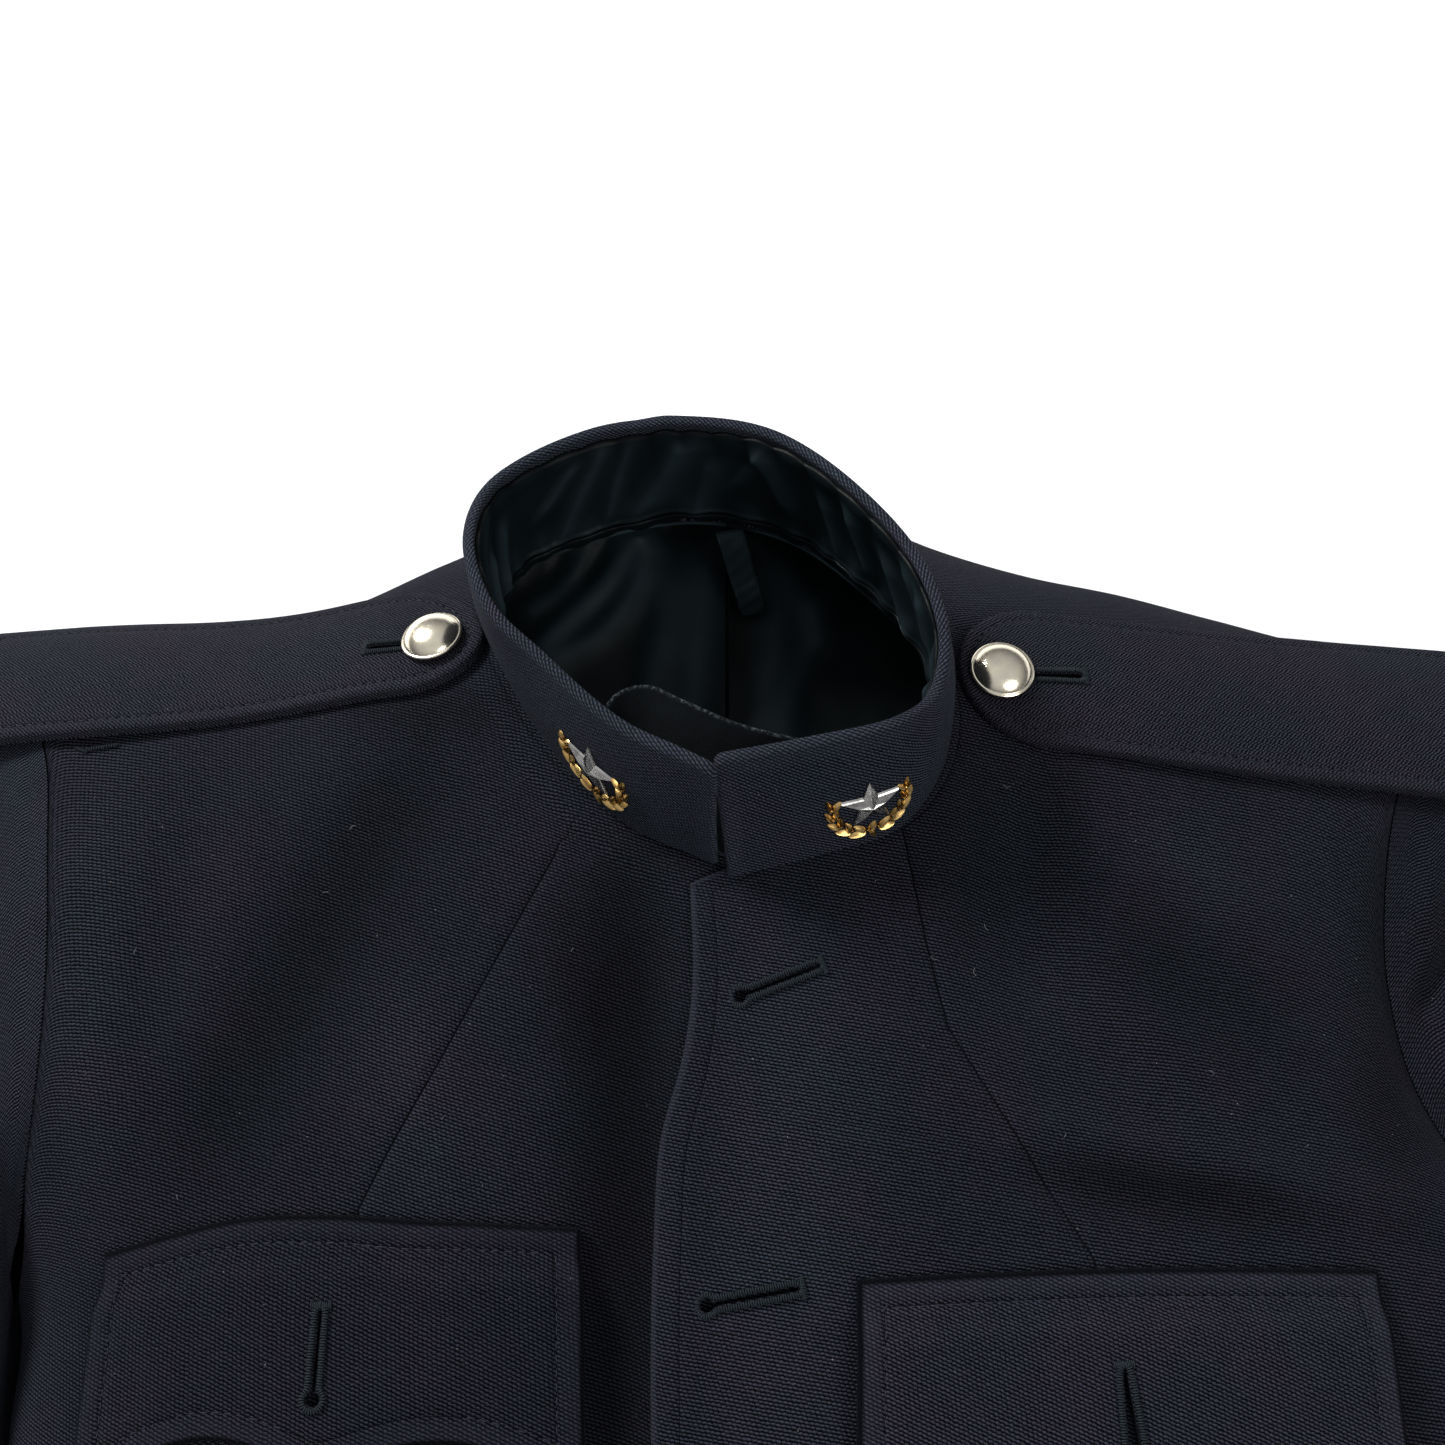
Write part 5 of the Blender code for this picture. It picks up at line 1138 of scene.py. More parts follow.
flap_columns = np.concatenate([0.03 * ramp, np.linspace(0.034, 0.966, 84), 1 - 0.03 * ramp[::-1]])
flap_falls = np.concatenate([0.057 * ramp[:11], np.linspace(0.066, 0.934, 38), 1 - 0.057 * ramp[10::-1]])
for side in WEARER:
    shares = flap_columns
    hang = 0.0535 + 0.0085 * (1 - np.abs(np.sin(2 * np.pi * shares)) ** 1.25)
    top = smooth_curve(FLAP_TOP[side])(shares)
    rows = []
    for fall in flap_falls:
        row = top - np.column_stack([np.zeros_like(hang), hang]) * fall
        row[:, 0] += 0.002 * (2 * shares - 1) * fall
        rows.append(row * (side, 1))
    plan = np.array(rows)
    edge = outline_distance(plan, rim_of(plan))
    base = flap_seat(top[:, 1] - plan[..., 1])
    pillow = 0.00022 * np.sin(np.pi * np.clip(edge / 0.0068, 0, 1))
    groove = 0.0004 * np.exp(-((edge - FLAP_STITCH_INSET) / 0.0008) ** 2)
    dents = folds(plan[..., 0], plan[..., 1], FLAP_FOLDS) * np.minimum(edge / 0.012, 1)
    lift = FLAP_WALL * (0.25 + 0.75 * rounded(edge / 0.0018)) + pillow - groove
    lift = lift + np.maximum(dents, DEEPEST_DENT)
    lower = lay(panel_height[side], plan, -base)
    upper = lay(panel_height[side], plan, -base - lift)
    # Painted light and shade: the flap on the wearer's left is set much lighter than the one on the right,
    # as the light falls on them. The edge seam paints a dark shadow line round the rim.
    cloth = wool(f"flap_cloth_{WEARER[side]}", 24, lightness=0.88 if side == RIGHT else 1.24,
                 edge_rub_and_highlight=0.14, cast=(1.0, 0.97, 0.98),
                 seams=(("stitched", 0.00012, 0.0013, 0.0005), ("edge", 0.0021, 0.0008, 0.0)))
    flap = cloth_mesh(f"flap_{WEARER[side]}", upper, lower, unrolled(upper), cloth,
                      marks={"stitched": edge - FLAP_STITCH_INSET, "edge": edge})
    face = raised_face(side, flap_seat(POCKET_TOP) + FLAP_WALL, FLAP_FOLDS)
    cut_keyholes(flap, FLAP_HOLES[side], face, cloth)
    work_keyholes(f"flap_hole_{WEARER[side]}", f"flap_cloth_{WEARER[side]}", FLAP_HOLES[side], face)
    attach(flap, "root")
    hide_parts(f"pocket_flap_{WEARER[side]}")
    path = inside_path(plan, FLAP_STITCH_INSET)
    depth = flap_seat(top.max() - path[:, 1]) + FLAP_WALL - THREAD_SINK
    face = lay(panel_height[side], path, -depth)
    facing = lay(panel_height[side], path, -depth - 1.0) - face
    sew(f"flap_stitching_{WEARER[side]}", f"flap_cloth_{WEARER[side]}", [(face, facing, True)], *TOPSTITCH)


# The sleeves: full at the head and flattened where they lie along the sides, with plain open
# cuffs. Each is sewn into its armhole.
# inner x, inner y, outer x, outer y, height, share of the armhole's shape, share that rounds away
SLEEVE = {
    RIGHT: [
        (0.2070, -0.010, 0.2450, 0.1985, 0.0500, 0.62, 0.52),
        (0.2042, -0.028, 0.2640, 0.1935, 0.0480, 0.25, 0.48),
        (0.2036, -0.062, 0.2930, 0.1770, 0.0440, 0.00, 0.40),
        (0.2070, -0.105, 0.3280, 0.1380, 0.0400, 0.00, 0.32),
        (0.2190, -0.145, 0.3600, 0.0760, 0.0360, 0.00, 0.28),
        (0.2390, -0.190, 0.3820, 0.0030, 0.0320, 0.00, 0.26),
        (0.2480, -0.240, 0.3960, -0.0750, 0.0290, 0.00, 0.24),
        (0.2560, -0.292, 0.4020, -0.1530, 0.0260, 0.00, 0.22),
        (0.2600, -0.345, 0.3990, -0.2310, 0.0230, 0.00, 0.20),
        (0.2610, -0.388, 0.3920, -0.3050, 0.0200, 0.00, 0.18),
        (0.2610, -0.410, 0.3870, -0.3660, 0.0180, 0.00, 0.18),
    ],
    LEFT: [
        (0.2550, -0.003, 0.2440, 0.1955, 0.0520, 0.62, 0.38),
        (0.2530, -0.018, 0.2700, 0.1890, 0.0500, 0.25, 0.36),
        (0.2490, -0.050, 0.3100, 0.1680, 0.0460, 0.00, 0.32),
        (0.2480, -0.090, 0.3520, 0.1280, 0.0420, 0.00, 0.30),
        (0.2600, -0.140, 0.3900, 0.0680, 0.0380, 0.00, 0.28),
        (0.2830, -0.182, 0.4180, -0.0020, 0.0340, 0.00, 0.26),
        (0.2910, -0.232, 0.4350, -0.0780, 0.0310, 0.00, 0.24),
        (0.2970, -0.286, 0.4410, -0.1560, 0.0280, 0.00, 0.22),
        (0.2995, -0.340, 0.4390, -0.2340, 0.0240, 0.00, 0.20),
        (0.2990, -0.378, 0.4310, -0.3030, 0.0210, 0.00, 0.18),
        (0.2985, -0.398, 0.4250, -0.3540, 0.0190, 0.00, 0.18),
    ],
}
# Creases where the sleeves bend off the shoulder and at the elbow
SLEEVE_CREASES = [
    (0.186, 0.063, 0.238, 0.120, 0.0046, -0.0046), (0.184, 0.088, 0.230, 0.140, 0.0070, 0.0030),
    (0.188, 0.048, 0.245, 0.088, 0.0056, 0.0034), (0.194, 0.044, 0.240, 0.058, 0.0040, -0.0036),
    (0.212, 0.040, 0.270, 0.005, 0.0080, 0.0024), (0.220, 0.018, 0.290, -0.030, 0.0070, -0.0022),
    (-0.206, 0.070, -0.240, 0.040, 0.0060, -0.0024), (-0.200, 0.030, -0.226, -0.060, 0.0090, 0.0030),
    (-0.218, 0.020, -0.246, -0.050, 0.0060, -0.0022), (0.300, -0.060, 0.390, -0.030, 0.0100, -0.0020),
    (0.310, -0.110, 0.400, -0.090, 0.0120, 0.0022), (-0.260, -0.080, -0.350, -0.040, 0.0110, -0.0020),
    (-0.270, -0.130, -0.370, -0.100, 0.0120, 0.0022), (-0.280, -0.200, -0.370, -0.160, 0.0120, -0.0014),
    (0.320, -0.190, 0.410, -0.150, 0.0120, -0.0014),
]
over_climbs = np.linspace(0, SEAM_END, 86)
over_turns = np.linspace(1, 0.004, 26)[1:, None]
under_climbs = np.linspace(0.01, 0.985, 60)


def armhole_loop(side, depth):
    """The armhole's edge at a depth in the cloth: up the front to the fold, then up the back."""
    front = front_armhole[side](over_climbs)
    fold = front_armhole[side](1.0)
    over = np.concatenate([front, fold + (front[-1] - fold) * over_turns])
    under = back_armhole[side](under_climbs)
    loops = []
    for plan, height, upward, gap in ((over, front_height, True, 0.0005),
                                      (under, back_height, False, 0.0015)):
        points = lay(height, plan, np.full(len(plan), depth), upward)
        along = np.gradient(plan, axis=0)
        away = np.column_stack([along[:, 1], -along[:, 0]]) * side
        away = unit(away)
        near = 1 - smooth_step(plan[:, 1], UNDERARM[side], UNDERARM[side] + 0.045)
        points[:, :2] += away * (gap + 0.0036 * near[:, None])
        loops.append(points)
    return loops


def sleeve_ring(side, section, over, under):
    """One ring round the sleeve: over the top from the inner to the outer edge, and back below."""
    inner_x, inner_y, outer_x, outer_y, height, keep, slope = section
    inner, outer = np.array([side * inner_x, inner_y]), np.array([side * outer_x, outer_y])
    fold = 0.0030 + height * 0.18
    shares = (1 - np.cos(np.pi * np.linspace(0, 1, len(over)))) / 2
    lens = rounded(shares / 0.22) * rounded((1 - shares) / slope)
    top = np.column_stack([inner + (outer - inner) * shares[:, None], fold + (height - fold) * lens])
    shares = (1 - np.cos(np.pi * np.linspace(0, 1, len(under) + 2)[-2:0:-1])) / 2
    curl = fold * 1.5 / np.linalg.norm(outer - inner)
    level = rounded(shares / curl) * rounded((1 - shares) / curl)
    foot = np.column_stack([inner + (outer - inner) * shares[:, None], fold * (1 - level)])
    return np.concatenate([over * keep + top * (1 - keep), under[::-1] * keep + foot * (1 - keep)])


sleeves = {}
for side in WEARER:
    over, under = armhole_loop(side, 0.0)
    seam_over, seam_under = armhole_loop(side, CLOTH)
    rings = [np.concatenate([over, under[::-1]])]
    rings += [sleeve_ring(side, section, over, under) for section in SLEEVE[side]]
    stations = np.concatenate([np.linspace(0, 4, 60)[:-1], np.linspace(4, 11, 50)])
    through = table_curve(np.arange(12), np.array(rings).reshape(12, -1))
    outer = through(stations).reshape(len(stations), -1, 3)
    around = np.roll(outer, -1, axis=1) - np.roll(outer, 1, axis=1)
    normal = np.cross(np.gradient(outer, axis=0), around) * side
    normal = unit(normal)
    above = smooth_step(outer[..., 2], 0.010, 0.022) * smooth_step(stations, 0.0, 0.6)[:, None]
    crease = folds(outer[..., 0], outer[..., 1], SLEEVE_CREASES) * above
    outer = outer + normal * crease[..., None]
    inner = outer - normal * CLOTH
    seam_normal = (rings[0] - np.concatenate([seam_over, seam_under[::-1]])) / CLOTH
    crotch = 1 - smooth_step(rings[0][:, 1] - UNDERARM[side], 0.0045, 0.045)[:, None]
    blend = seam_normal * (1 - crotch) + normal[0] * crotch
    blend = unit(blend)
    inner[0] = rings[0] - blend * CLOTH
    girth = np.linalg.norm(np.diff(np.concatenate([outer, outer[:, :1]], axis=1), axis=1), axis=-1)
    u = np.concatenate([np.zeros((len(outer), 1)), np.cumsum(girth, axis=1)], axis=1)
    length = np.concatenate([[0], np.cumsum(np.linalg.norm(np.diff(outer[:, 40], axis=0), axis=1))])
    metres = np.stack([u * side, -length[:, None] * np.ones_like(u)], axis=-1)
    # Painted light and shade: the sleeve on the wearer's right is set lighter and the left darker, as the
    # light falls on them.
    cloth = wool(f"sleeve_cloth_{WEARER[side]}", 62, lightness=1.18 if side == RIGHT else 0.76)
    sleeve = cloth_mesh(f"sleeve_tube_{WEARER[side]}", outer, inner, metres, cloth, ring=True)
    sleeves[side] = sleeve
    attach(sleeve, "root")
    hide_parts(f"sleeve_{WEARER[side]}")


# The stand collar: a stiff band of wool over canvas, turned in at its rim, with ends that meet at
# the front. It is sewn to the neckline and leans a little to the neck.
COLLAR_HEIGHT = 0.042
lean_at = table_curve(collar_keys, COLLAR[:, 2:])


def dressed_height(x, y):
    """Top of whichever front lies under the collar's foot."""
    return front_height(x, y) + overlap_lift(x) * smooth_step(x, -0.0260, -0.0130)


def collar_point(share, climb, inset):
    """A point of the standing collar: share of the way round, share of the way up, inset."""
    share, climb, inset = np.broadcast_arrays(*(np.asarray(given, float) for given in (share, climb, inset)))
    foot, inward = collar_place(share, inset)
    outside = collar_place(share, np.zeros(share.shape))[0]
    lean = lean_at(share)
    rise = np.sqrt(COLLAR_HEIGHT ** 2 - (lean ** 2).sum(axis=-1))
    rim_z = dressed_height(outside[..., 0], outside[..., 1]) + SEAM + rise
    foot_z = dressed_height(foot[..., 0], foot[..., 1]) + SEAM
    bow = 0.0012 * np.sin(np.pi * np.clip(climb, 0, 1))
    plan = foot + lean * climb[..., None] - inward * bow[..., None]
    return np.concatenate([plan, (foot_z + (rim_z - foot_z) * climb)[..., None]], axis=-1)


def tube_mesh(name, rings, metres, finish, marks):
    """A closed skin from matching rings of points, with flat ends."""
    rows, columns = rings.shape[:2]
    row, column = np.meshgrid(np.arange(rows - 1), np.arange(columns), indexing="ij")
    row, column = row.ravel(), column.ravel()
    at = lambda r, c: r * columns + c % columns
    corners = [(row, column), (row + 1, column), (row + 1, column + 1), (row, column + 1)]
    faces = np.stack([at(r, c) for r, c in corners], 1)
    places = np.stack([r * (columns + 1) + c for r, c in corners], 1)
    centre = rings.mean(axis=1, keepdims=True)
    one = np.roll(rings, -1, axis=1)[:-1] - rings[:-1]
    two = rings[1:] - rings[:-1]
    turned = (np.cross(two, one) * (rings - centre)[:-1]).sum() < 0
    if turned:
        faces, places = faces[:, ::-1], places[:, ::-1]
    ends = [list(range(columns)), [(rows - 1) * columns + c for c in range(columns)][::-1]]
    if turned:
        ends = [end[::-1] for end in ends]
    mesh = bpy.data.meshes.new(name)
    mesh.from_pydata(rings.reshape(-1, 3).tolist(), [], faces.tolist() + ends)
    flat = metres.reshape(-1, 2)
    weave = mesh.uv_layers.new(name="weave")
    end_places = [[(v // columns) * (columns + 1) + v % columns for v in end] for end in ends]
    values = np.concatenate([flat[places.ravel()]] + [flat[end] for end in end_places])
    weave.data.foreach_set("uv", values.ravel())
    mark_points(mesh, {mark: values.ravel() for mark, values in marks.items()})
    return finished(name, mesh, finish)


ends = 0.008 / collar_length * (1 - np.cos(np.linspace(0, math.pi / 2, 16)))
collar_shares = np.concatenate([ends, np.linspace(ends[-1], 1 - ends[-1], 260)[1:-1], 1 - ends[::-1]])
from_end = np.minimum(collar_shares, 1 - collar_shares) * collar_length
half = np.maximum(COLLAR_WALL / 2 * rounded(from_end / 0.0016), 0.0001)[:, None]
top = (1 - 0.0034 / COLLAR_HEIGHT * (1 - rounded(from_end / 0.0034)))[:, None]
climb_steps = np.linspace(0, 1, 34)
shoulder = top - half / COLLAR_HEIGHT
bend = np.linspace(math.pi, 0, 13)[1:-1]
climbs = np.concatenate([shoulder * climb_steps, shoulder + half / COLLAR_HEIGHT * np.sin(bend),
                         shoulder * climb_steps[::-1]], axis=1)
insets = np.concatenate([-half * np.ones(34), half * np.cos(bend), half * np.ones(34)], axis=1)
insets = COLLAR_WALL / 2 + insets
rim_swell = 0.0003 * np.exp(-((1 - climbs) * COLLAR_HEIGHT / 0.0030) ** 2)
rim_swell = rim_swell * np.sign(insets - COLLAR_WALL / 2)
rings = collar_point(collar_shares[:, None], climbs, insets + rim_swell * (half > 0.001))
girth = np.cumsum(np.linalg.norm(np.diff(rings, axis=1), axis=-1), axis=1)
girth = np.concatenate([np.zeros((len(rings), 1)), girth], axis=1)
girth = np.concatenate([girth, girth[:, -1:] + COLLAR_WALL], axis=1)
metres = np.stack([np.broadcast_to(collar_shares[:, None] * collar_length, girth.shape), girth], axis=-1)
rim_reach = np.abs(girth[:, :-1] - COLLAR_HEIGHT) + 0.0004
edge = np.minimum(rim_reach, from_end[:, None] + 0.0004)
# The collar is set paler than the fronts: partly its own tone, partly painted light on a face turned from
# the lamp.
collar_wool = wool("collar_cloth", -35, pitch=0.00098, yarn=0.0014, lightness=1.55, edge_rub_and_highlight=0.12,
                   cast=(0.95, 1.01, 0.98))
collar = tube_mesh("stand_collar", rings, metres, collar_wool, {"edge": edge})
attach(collar, "root")
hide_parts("collar")


# The collar's lining: satin felled just under the rim in small scallops and puckers, falling in
# slanting folds to the neck seam.
lining_shares = np.linspace(0.024, 0.976, 420)
run = lining_shares * collar_length
climb_rows = np.concatenate([np.linspace(-0.078, 0.03, 12)[:-1], np.linspace(0.03, 0.80, 50),
                             0.80 + 0.20 * np.sin(np.linspace(0, math.pi / 2, 18))[1:]])
scallop = np.abs(np.sin(np.pi * run / 0.0125 + 0.6 * np.sin(run * 31)))
lining_top = 1 - (0.0029 + 0.0010 * (1 - scallop)) / COLLAR_HEIGHT
foot = np.where(climb_rows < 0, 1, 0)[:, None] * 0.45 * (np.sin(run * 420) * np.sin(run * 151))[None]
climbs = climb_rows[:, None] * lining_top[None, :] * (1 + foot)
down = (1 - climb_rows)[:, None] * COLLAR_HEIGHT
pucker = 0.0014 * scallop * np.exp(-down / 0.0060) * smooth_step(down, 0.0, 0.0050)
slant = np.zeros_like(climbs)
chance = np.random.default_rng(11)
places = np.linspace(0.07, 0.93, 25) + chance.uniform(-0.012, 0.012, 25)
for place, drift, width, height, low, high in zip(
    places, chance.uniform(0.02, 0.075, 25), chance.uniform(0.0026, 0.0070, 25),
    chance.uniform(0.0010, 0.0027, 25), chance.uniform(-0.05, 0.40, 25), chance.uniform(0.60, 1.05, 25),
):
    leaning = drift if place < 0.54 else -drift
    off = run[None] - (place + leaning * (climb_rows[:, None] - 0.5)) * collar_length
    rise = smooth_step(climb_rows, low - 0.12, low + 0.12)
    rise = rise * (1 - smooth_step(climb_rows, high - 0.12, high + 0.12))
    quiet = smooth_step(0.46 - abs(place - 0.5), 0.0, 0.12)
    slant += quiet * height * rise[:, None] * np.exp(-(off / (width * (1 + 0.4 * np.sign(off)))) ** 2)
slant *= (1 - smooth_step(climb_rows, 0.80, 1.0))[:, None]
gather = np.abs(np.sin(np.pi * run / 0.0160 + 0.9 * np.sin(run * 47)))[None] ** 3
ease = 0.0011 * gather * np.exp(-((climb_rows[:, None] - 0.04) / 0.14) ** 2)
over_seam = 0.0012 * (1 - smooth_step(climb_rows, 0.0, 0.07))[:, None]
sunk = 0.0005 * np.exp(-((climb_rows[:, None] - 0.012) / 0.016) ** 2)
bulge = pucker + slant + ease + over_seam - sunk
outer = collar_point(lining_shares[None], climbs,
                     COLLAR_WALL + SEAM + (bulge - over_seam) * 0.6 + over_seam)
inner = collar_point(lining_shares[None], climbs,
                     COLLAR_WALL + SEAM + 0.0002 + LINING * 0.8 * rounded(down / 0.0007) + bulge)
metres = np.stack([np.broadcast_to(run[None], climbs.shape), climbs * COLLAR_HEIGHT], axis=-1)
sewn = np.minimum(np.abs(climb_rows[:, None] - 0.012) * COLLAR_HEIGHT * (1.3 + gather), down * 0.45)
sewn = sewn * np.ones_like(climbs)
# Painted gleam and shade on the collar lining: painted highlight on the slanting folds, puckers and gathers,
# painted shade below the neck seam.
painted_gleam_and_shade = np.clip(0.50 + slant * 460 + (pucker + ease) * 300, 0.2, 1.9)
painted_gleam_and_shade = painted_gleam_and_shade * (1 - 0.45 * (climb_rows[:, None] < 0.012))
collar_lining = cloth_mesh("collar_satin_lining", inner, outer, metres,
                           satin("collar_satin", "sewn", 0.07, 2.1, painted_gleam_and_shade=True),
                           marks={"sewn": sewn, "painted_gleam_and_shade": painted_gleam_and_shade})
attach(collar_lining, "root")
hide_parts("collar_lining")
fell = collar_point(np.linspace(0.03, 0.97, 900), 1 - 0.0026 / COLLAR_HEIGHT, COLLAR_WALL + 0.0001)
fell_normal = collar_place(np.linspace(0.03, 0.97, 900), np.zeros(900))[1]
fell_normal = np.column_stack([fell_normal, np.full(900, 0.15)])
sew("collar_felling", "collar_satin", [(fell, fell_normal, False)],
    0.0042, 0.0009, 0.00025, 0.00025, 1.2, 0.3, thread("satin_thread", (0.004, 0.006, 0.007)))


# The underlap: a stiff tab of felt behind the collar's opening, that keeps the hooks off the
# throat. Its cut edge is pale where the fibres stand out.
# x, y, z of its foot and of its upper edge, from the wearer's left end
TAB = np.array([
    (0.0340, 0.1252, 0.0720, 0.0330, 0.1420, 0.0850), (0.0210, 0.1217, 0.0710, 0.0214, 0.1430, 0.0880),
    (0.0050, 0.1200, 0.0710, 0.0030, 0.1480, 0.0890), (-0.0120, 0.1290, 0.0715, -0.0120, 0.1545, 0.0890),
    (-0.0230, 0.1375, 0.0730, -0.0230, 0.1590, 0.0880), (-0.0300, 0.1430, 0.0755, -0.0295, 0.1570, 0.0868),
    (-0.0335, 0.1475, 0.0790, -0.0330, 0.1520, 0.0848),
])


def felt(name):
    """Pressed navy felt with loose fibres, pale along its cut edge."""
    made, tree, shader = new_finish(
        name, {"Roughness": 0.95, "Specular IOR Level": 0.05, "Sheen Weight": 0.03})
    place = tree.node("ShaderNodeTexCoord").outputs["Object"]
    mottle = tree.noise(place, 220.0, 4.0)
    fibre = tree.noise(place, 2400.0, 3.0, 0.7)
    tone = tree.math("MULTIPLY_ADD", fibre, 0.9, tree.math("MULTIPLY_ADD", mottle, 0.8, -0.35), clamp=True)
    colour = tree.blend(tone, (0.0012, 0.0018, 0.0024, 1), (0.0052, 0.0070, 0.0088, 1))
    pale = tree.math("SUBTRACT", 1.0, tree.math("DIVIDE", tree.mark("edge"), 0.0009), clamp=True)
    tuft = tree.noise(place, 900.0, 3.0, 0.7)
    pale = tree.math("MULTIPLY", pale, tree.math("MULTIPLY_ADD", tuft, 7.0, -3.4, clamp=True))
    colour = tree.blend(tree.math("MULTIPLY", pale, 0.60), colour, (0.085, 0.110, 0.115, 1))
    tree.feed(shader, {"Base Color": colour, "Normal": tree.bump(tree.math("MULTIPLY", fibre, 0.0003))})
    return made


low, high = smooth_curve(TAB[:, :3]), smooth_curve(TAB[:, 3:])
shares = np.linspace(0, 1, 110)
climb = (1 - np.cos(np.pi * np.linspace(0, 1, 40))) / 2
front = low(shares)[None] + (high(shares) - low(shares))[None] * climb[:, None, None]
normal = np.cross(np.gradient(front, axis=1), np.gradient(front, axis=0))
normal = unit(normal)
normal *= np.sign(normal[..., 1:2])
run = np.linalg.norm(np.diff(front[20], axis=0), axis=1).sum()
tall = np.linalg.norm(front[-1] - front[0], axis=-1)[None]
edge = np.minimum(np.minimum(climb[:, None], 1 - climb[:, None]) * tall, (1 - shares[None]) * run)
wave = 0.0004 * np.sin(shares * 9 + 1)[None] * np.ones_like(edge)
thick = 0.0010 * rounded(edge / 0.0011)
middle = front + normal * (0.0010 + wave)[..., None]
metres = np.stack(np.broadcast_arrays(shares[None] * run, climb[:, None] * 0.02), axis=-1)
half = normal * thick[..., None]
tab = cloth_mesh("collar_underlap", middle - half, middle + half, metres, felt("tab_felt"),
                 marks={"edge": edge})
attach(tab, "root")
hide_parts("collar_tab")


# The collar badges: a plain silver star over a gilt spray of leaves and berries, stamped and
# pinned through the collar.
# Where each badge sits, as shares of the collar's length and height
BADGE_SHARE = {RIGHT: 0.092, LEFT: 0.898}
BADGE_CLIMB = 0.40


def plated(name, colour, roughness, dark):
    """Stamped plate: brighter and darker in soft patches, finely scratched."""
    made, tree, shader = new_finish(name, {"Metallic": 1.0})
    place = tree.node("ShaderNodeTexCoord").outputs["Object"]
    smudge = tree.noise(place, 260.0, 4.0)
    scratch = tree.noise(tree.vector("MULTIPLY", place, (1.0, 6.0, 3.0)), 900.0, 3.0, 0.65)
    tone = tree.math("MULTIPLY_ADD", smudge, 1.8, -0.45, clamp=True)
    rough = tree.math("MULTIPLY_ADD", scratch, 0.16, roughness - 0.06, clamp=True)
    tree.feed(shader, {"Base Color": tree.blend(tone, (*dark, 1), (*colour, 1)), "Roughness": rough,
                       "Normal": tree.bump(tree.math("MULTIPLY", scratch, 0.00002))})
    return made


def collar_face(side, right, up, lift):
    """Points on the collar's face at distances from the badge's centre."""
    share = BADGE_SHARE[side] + np.asarray(right) / collar_length
    climb = BADGE_CLIMB + np.asarray(up) / COLLAR_HEIGHT
    return collar_point(share, climb, -np.asarray(lift) * np.ones_like(share))


def star_shell(side):
    """Five points with a ridge along each, on a thin edge."""
    turns = math.pi / 2 + math.pi * np.arange(10) / 5
    radius = np.where(np.arange(10) % 2 == 0, 0.0084, 0.0034)
    right, up = radius * np.cos(turns), radius * np.sin(turns) + 0.0010
    levels = [(1.0, 0.0), (1.0, 0.0006), (0.93, 0.0009), (0.45, 0.0017)]
    points = np.concatenate([collar_face(side, right * k, up * k, lift + SEAM) for k, lift in levels])
    peak = collar_face(side, np.zeros(1), np.full(1, 0.0010), SEAM + 0.0023)
    foot = collar_face(side, np.zeros(1), np.zeros(1), SEAM)
    faces = ring_faces(4, 10)
    faces += [(30 + index, 30 + (index + 1) % 10, 40) for index in range(10)]
    faces += [((index + 1) % 10, index, 41) for index in range(10)]
    return np.concatenate([points, peak, foot]), faces


def leaf_shell(side, centre, heading, length, width):
    """One pointed leaf, crowned over a sunk midrib."""
    run = np.array([math.cos(heading), math.sin(heading)])
    across = np.array([-run[1], run[0]])
    places, lifts = [], []
    for share in (0.12, 0.32, 0.52, 0.72, 0.88):
        reach = math.sin(math.pi * share ** 0.8) ** 0.8
        for side_way, lift in ((-1.0, 0.0), (-0.95, 0.0003), (-0.45, 0.0010), (0.0, 0.0005),
                               (0.45, 0.0010), (0.95, 0.0003), (1.0, 0.0)):
            places.append(centre + run * length * (share - 0.5) + across * width / 2 * reach * side_way)
            lifts.append(lift * (0.6 + 0.4 * reach) + SEAM)
    places += [centre - run * length / 2, centre + run * length / 2]
    lifts += [SEAM + 0.0002, SEAM + 0.0003]
    places, lifts = np.array(places), np.array(lifts)
    faces = []
    for row in range(4):
        faces += [(row * 7 + c, row * 7 + c + 1, row * 7 + 8 + c, row * 7 + 7 + c) for c in range(6)]
        faces.append((row * 7 + 6, row * 7, row * 7 + 7, row * 7 + 13))
    faces += [(35, c + 1, c) for c in range(6)] + [(35, 0, 6)]
    faces += [(36, 28 + c, 29 + c) for c in range(6)] + [(36, 34, 28)]
    return collar_face(side, places[:, 0], places[:, 1], lifts), faces


def berry_shell(side, centre, radius):
    """One round berry, domed in three steps."""
    turns = math.pi * np.arange(8) / 4
    points = np.concatenate([
        np.column_stack([centre[0] + radius * k * np.cos(turns), centre[1] + radius * k * np.sin(turns),
                         np.full(8, SEAM + radius * lift)])
        for k, lift in ((1.0, 0.0), (0.95, 0.5), (0.6, 0.9))
    ])
    faces = ring_faces(3, 8) + [tuple(range(16, 24)), tuple(range(7, -1, -1))]
    return collar_face(side, points[:, 0], points[:, 1], points[:, 2]), faces


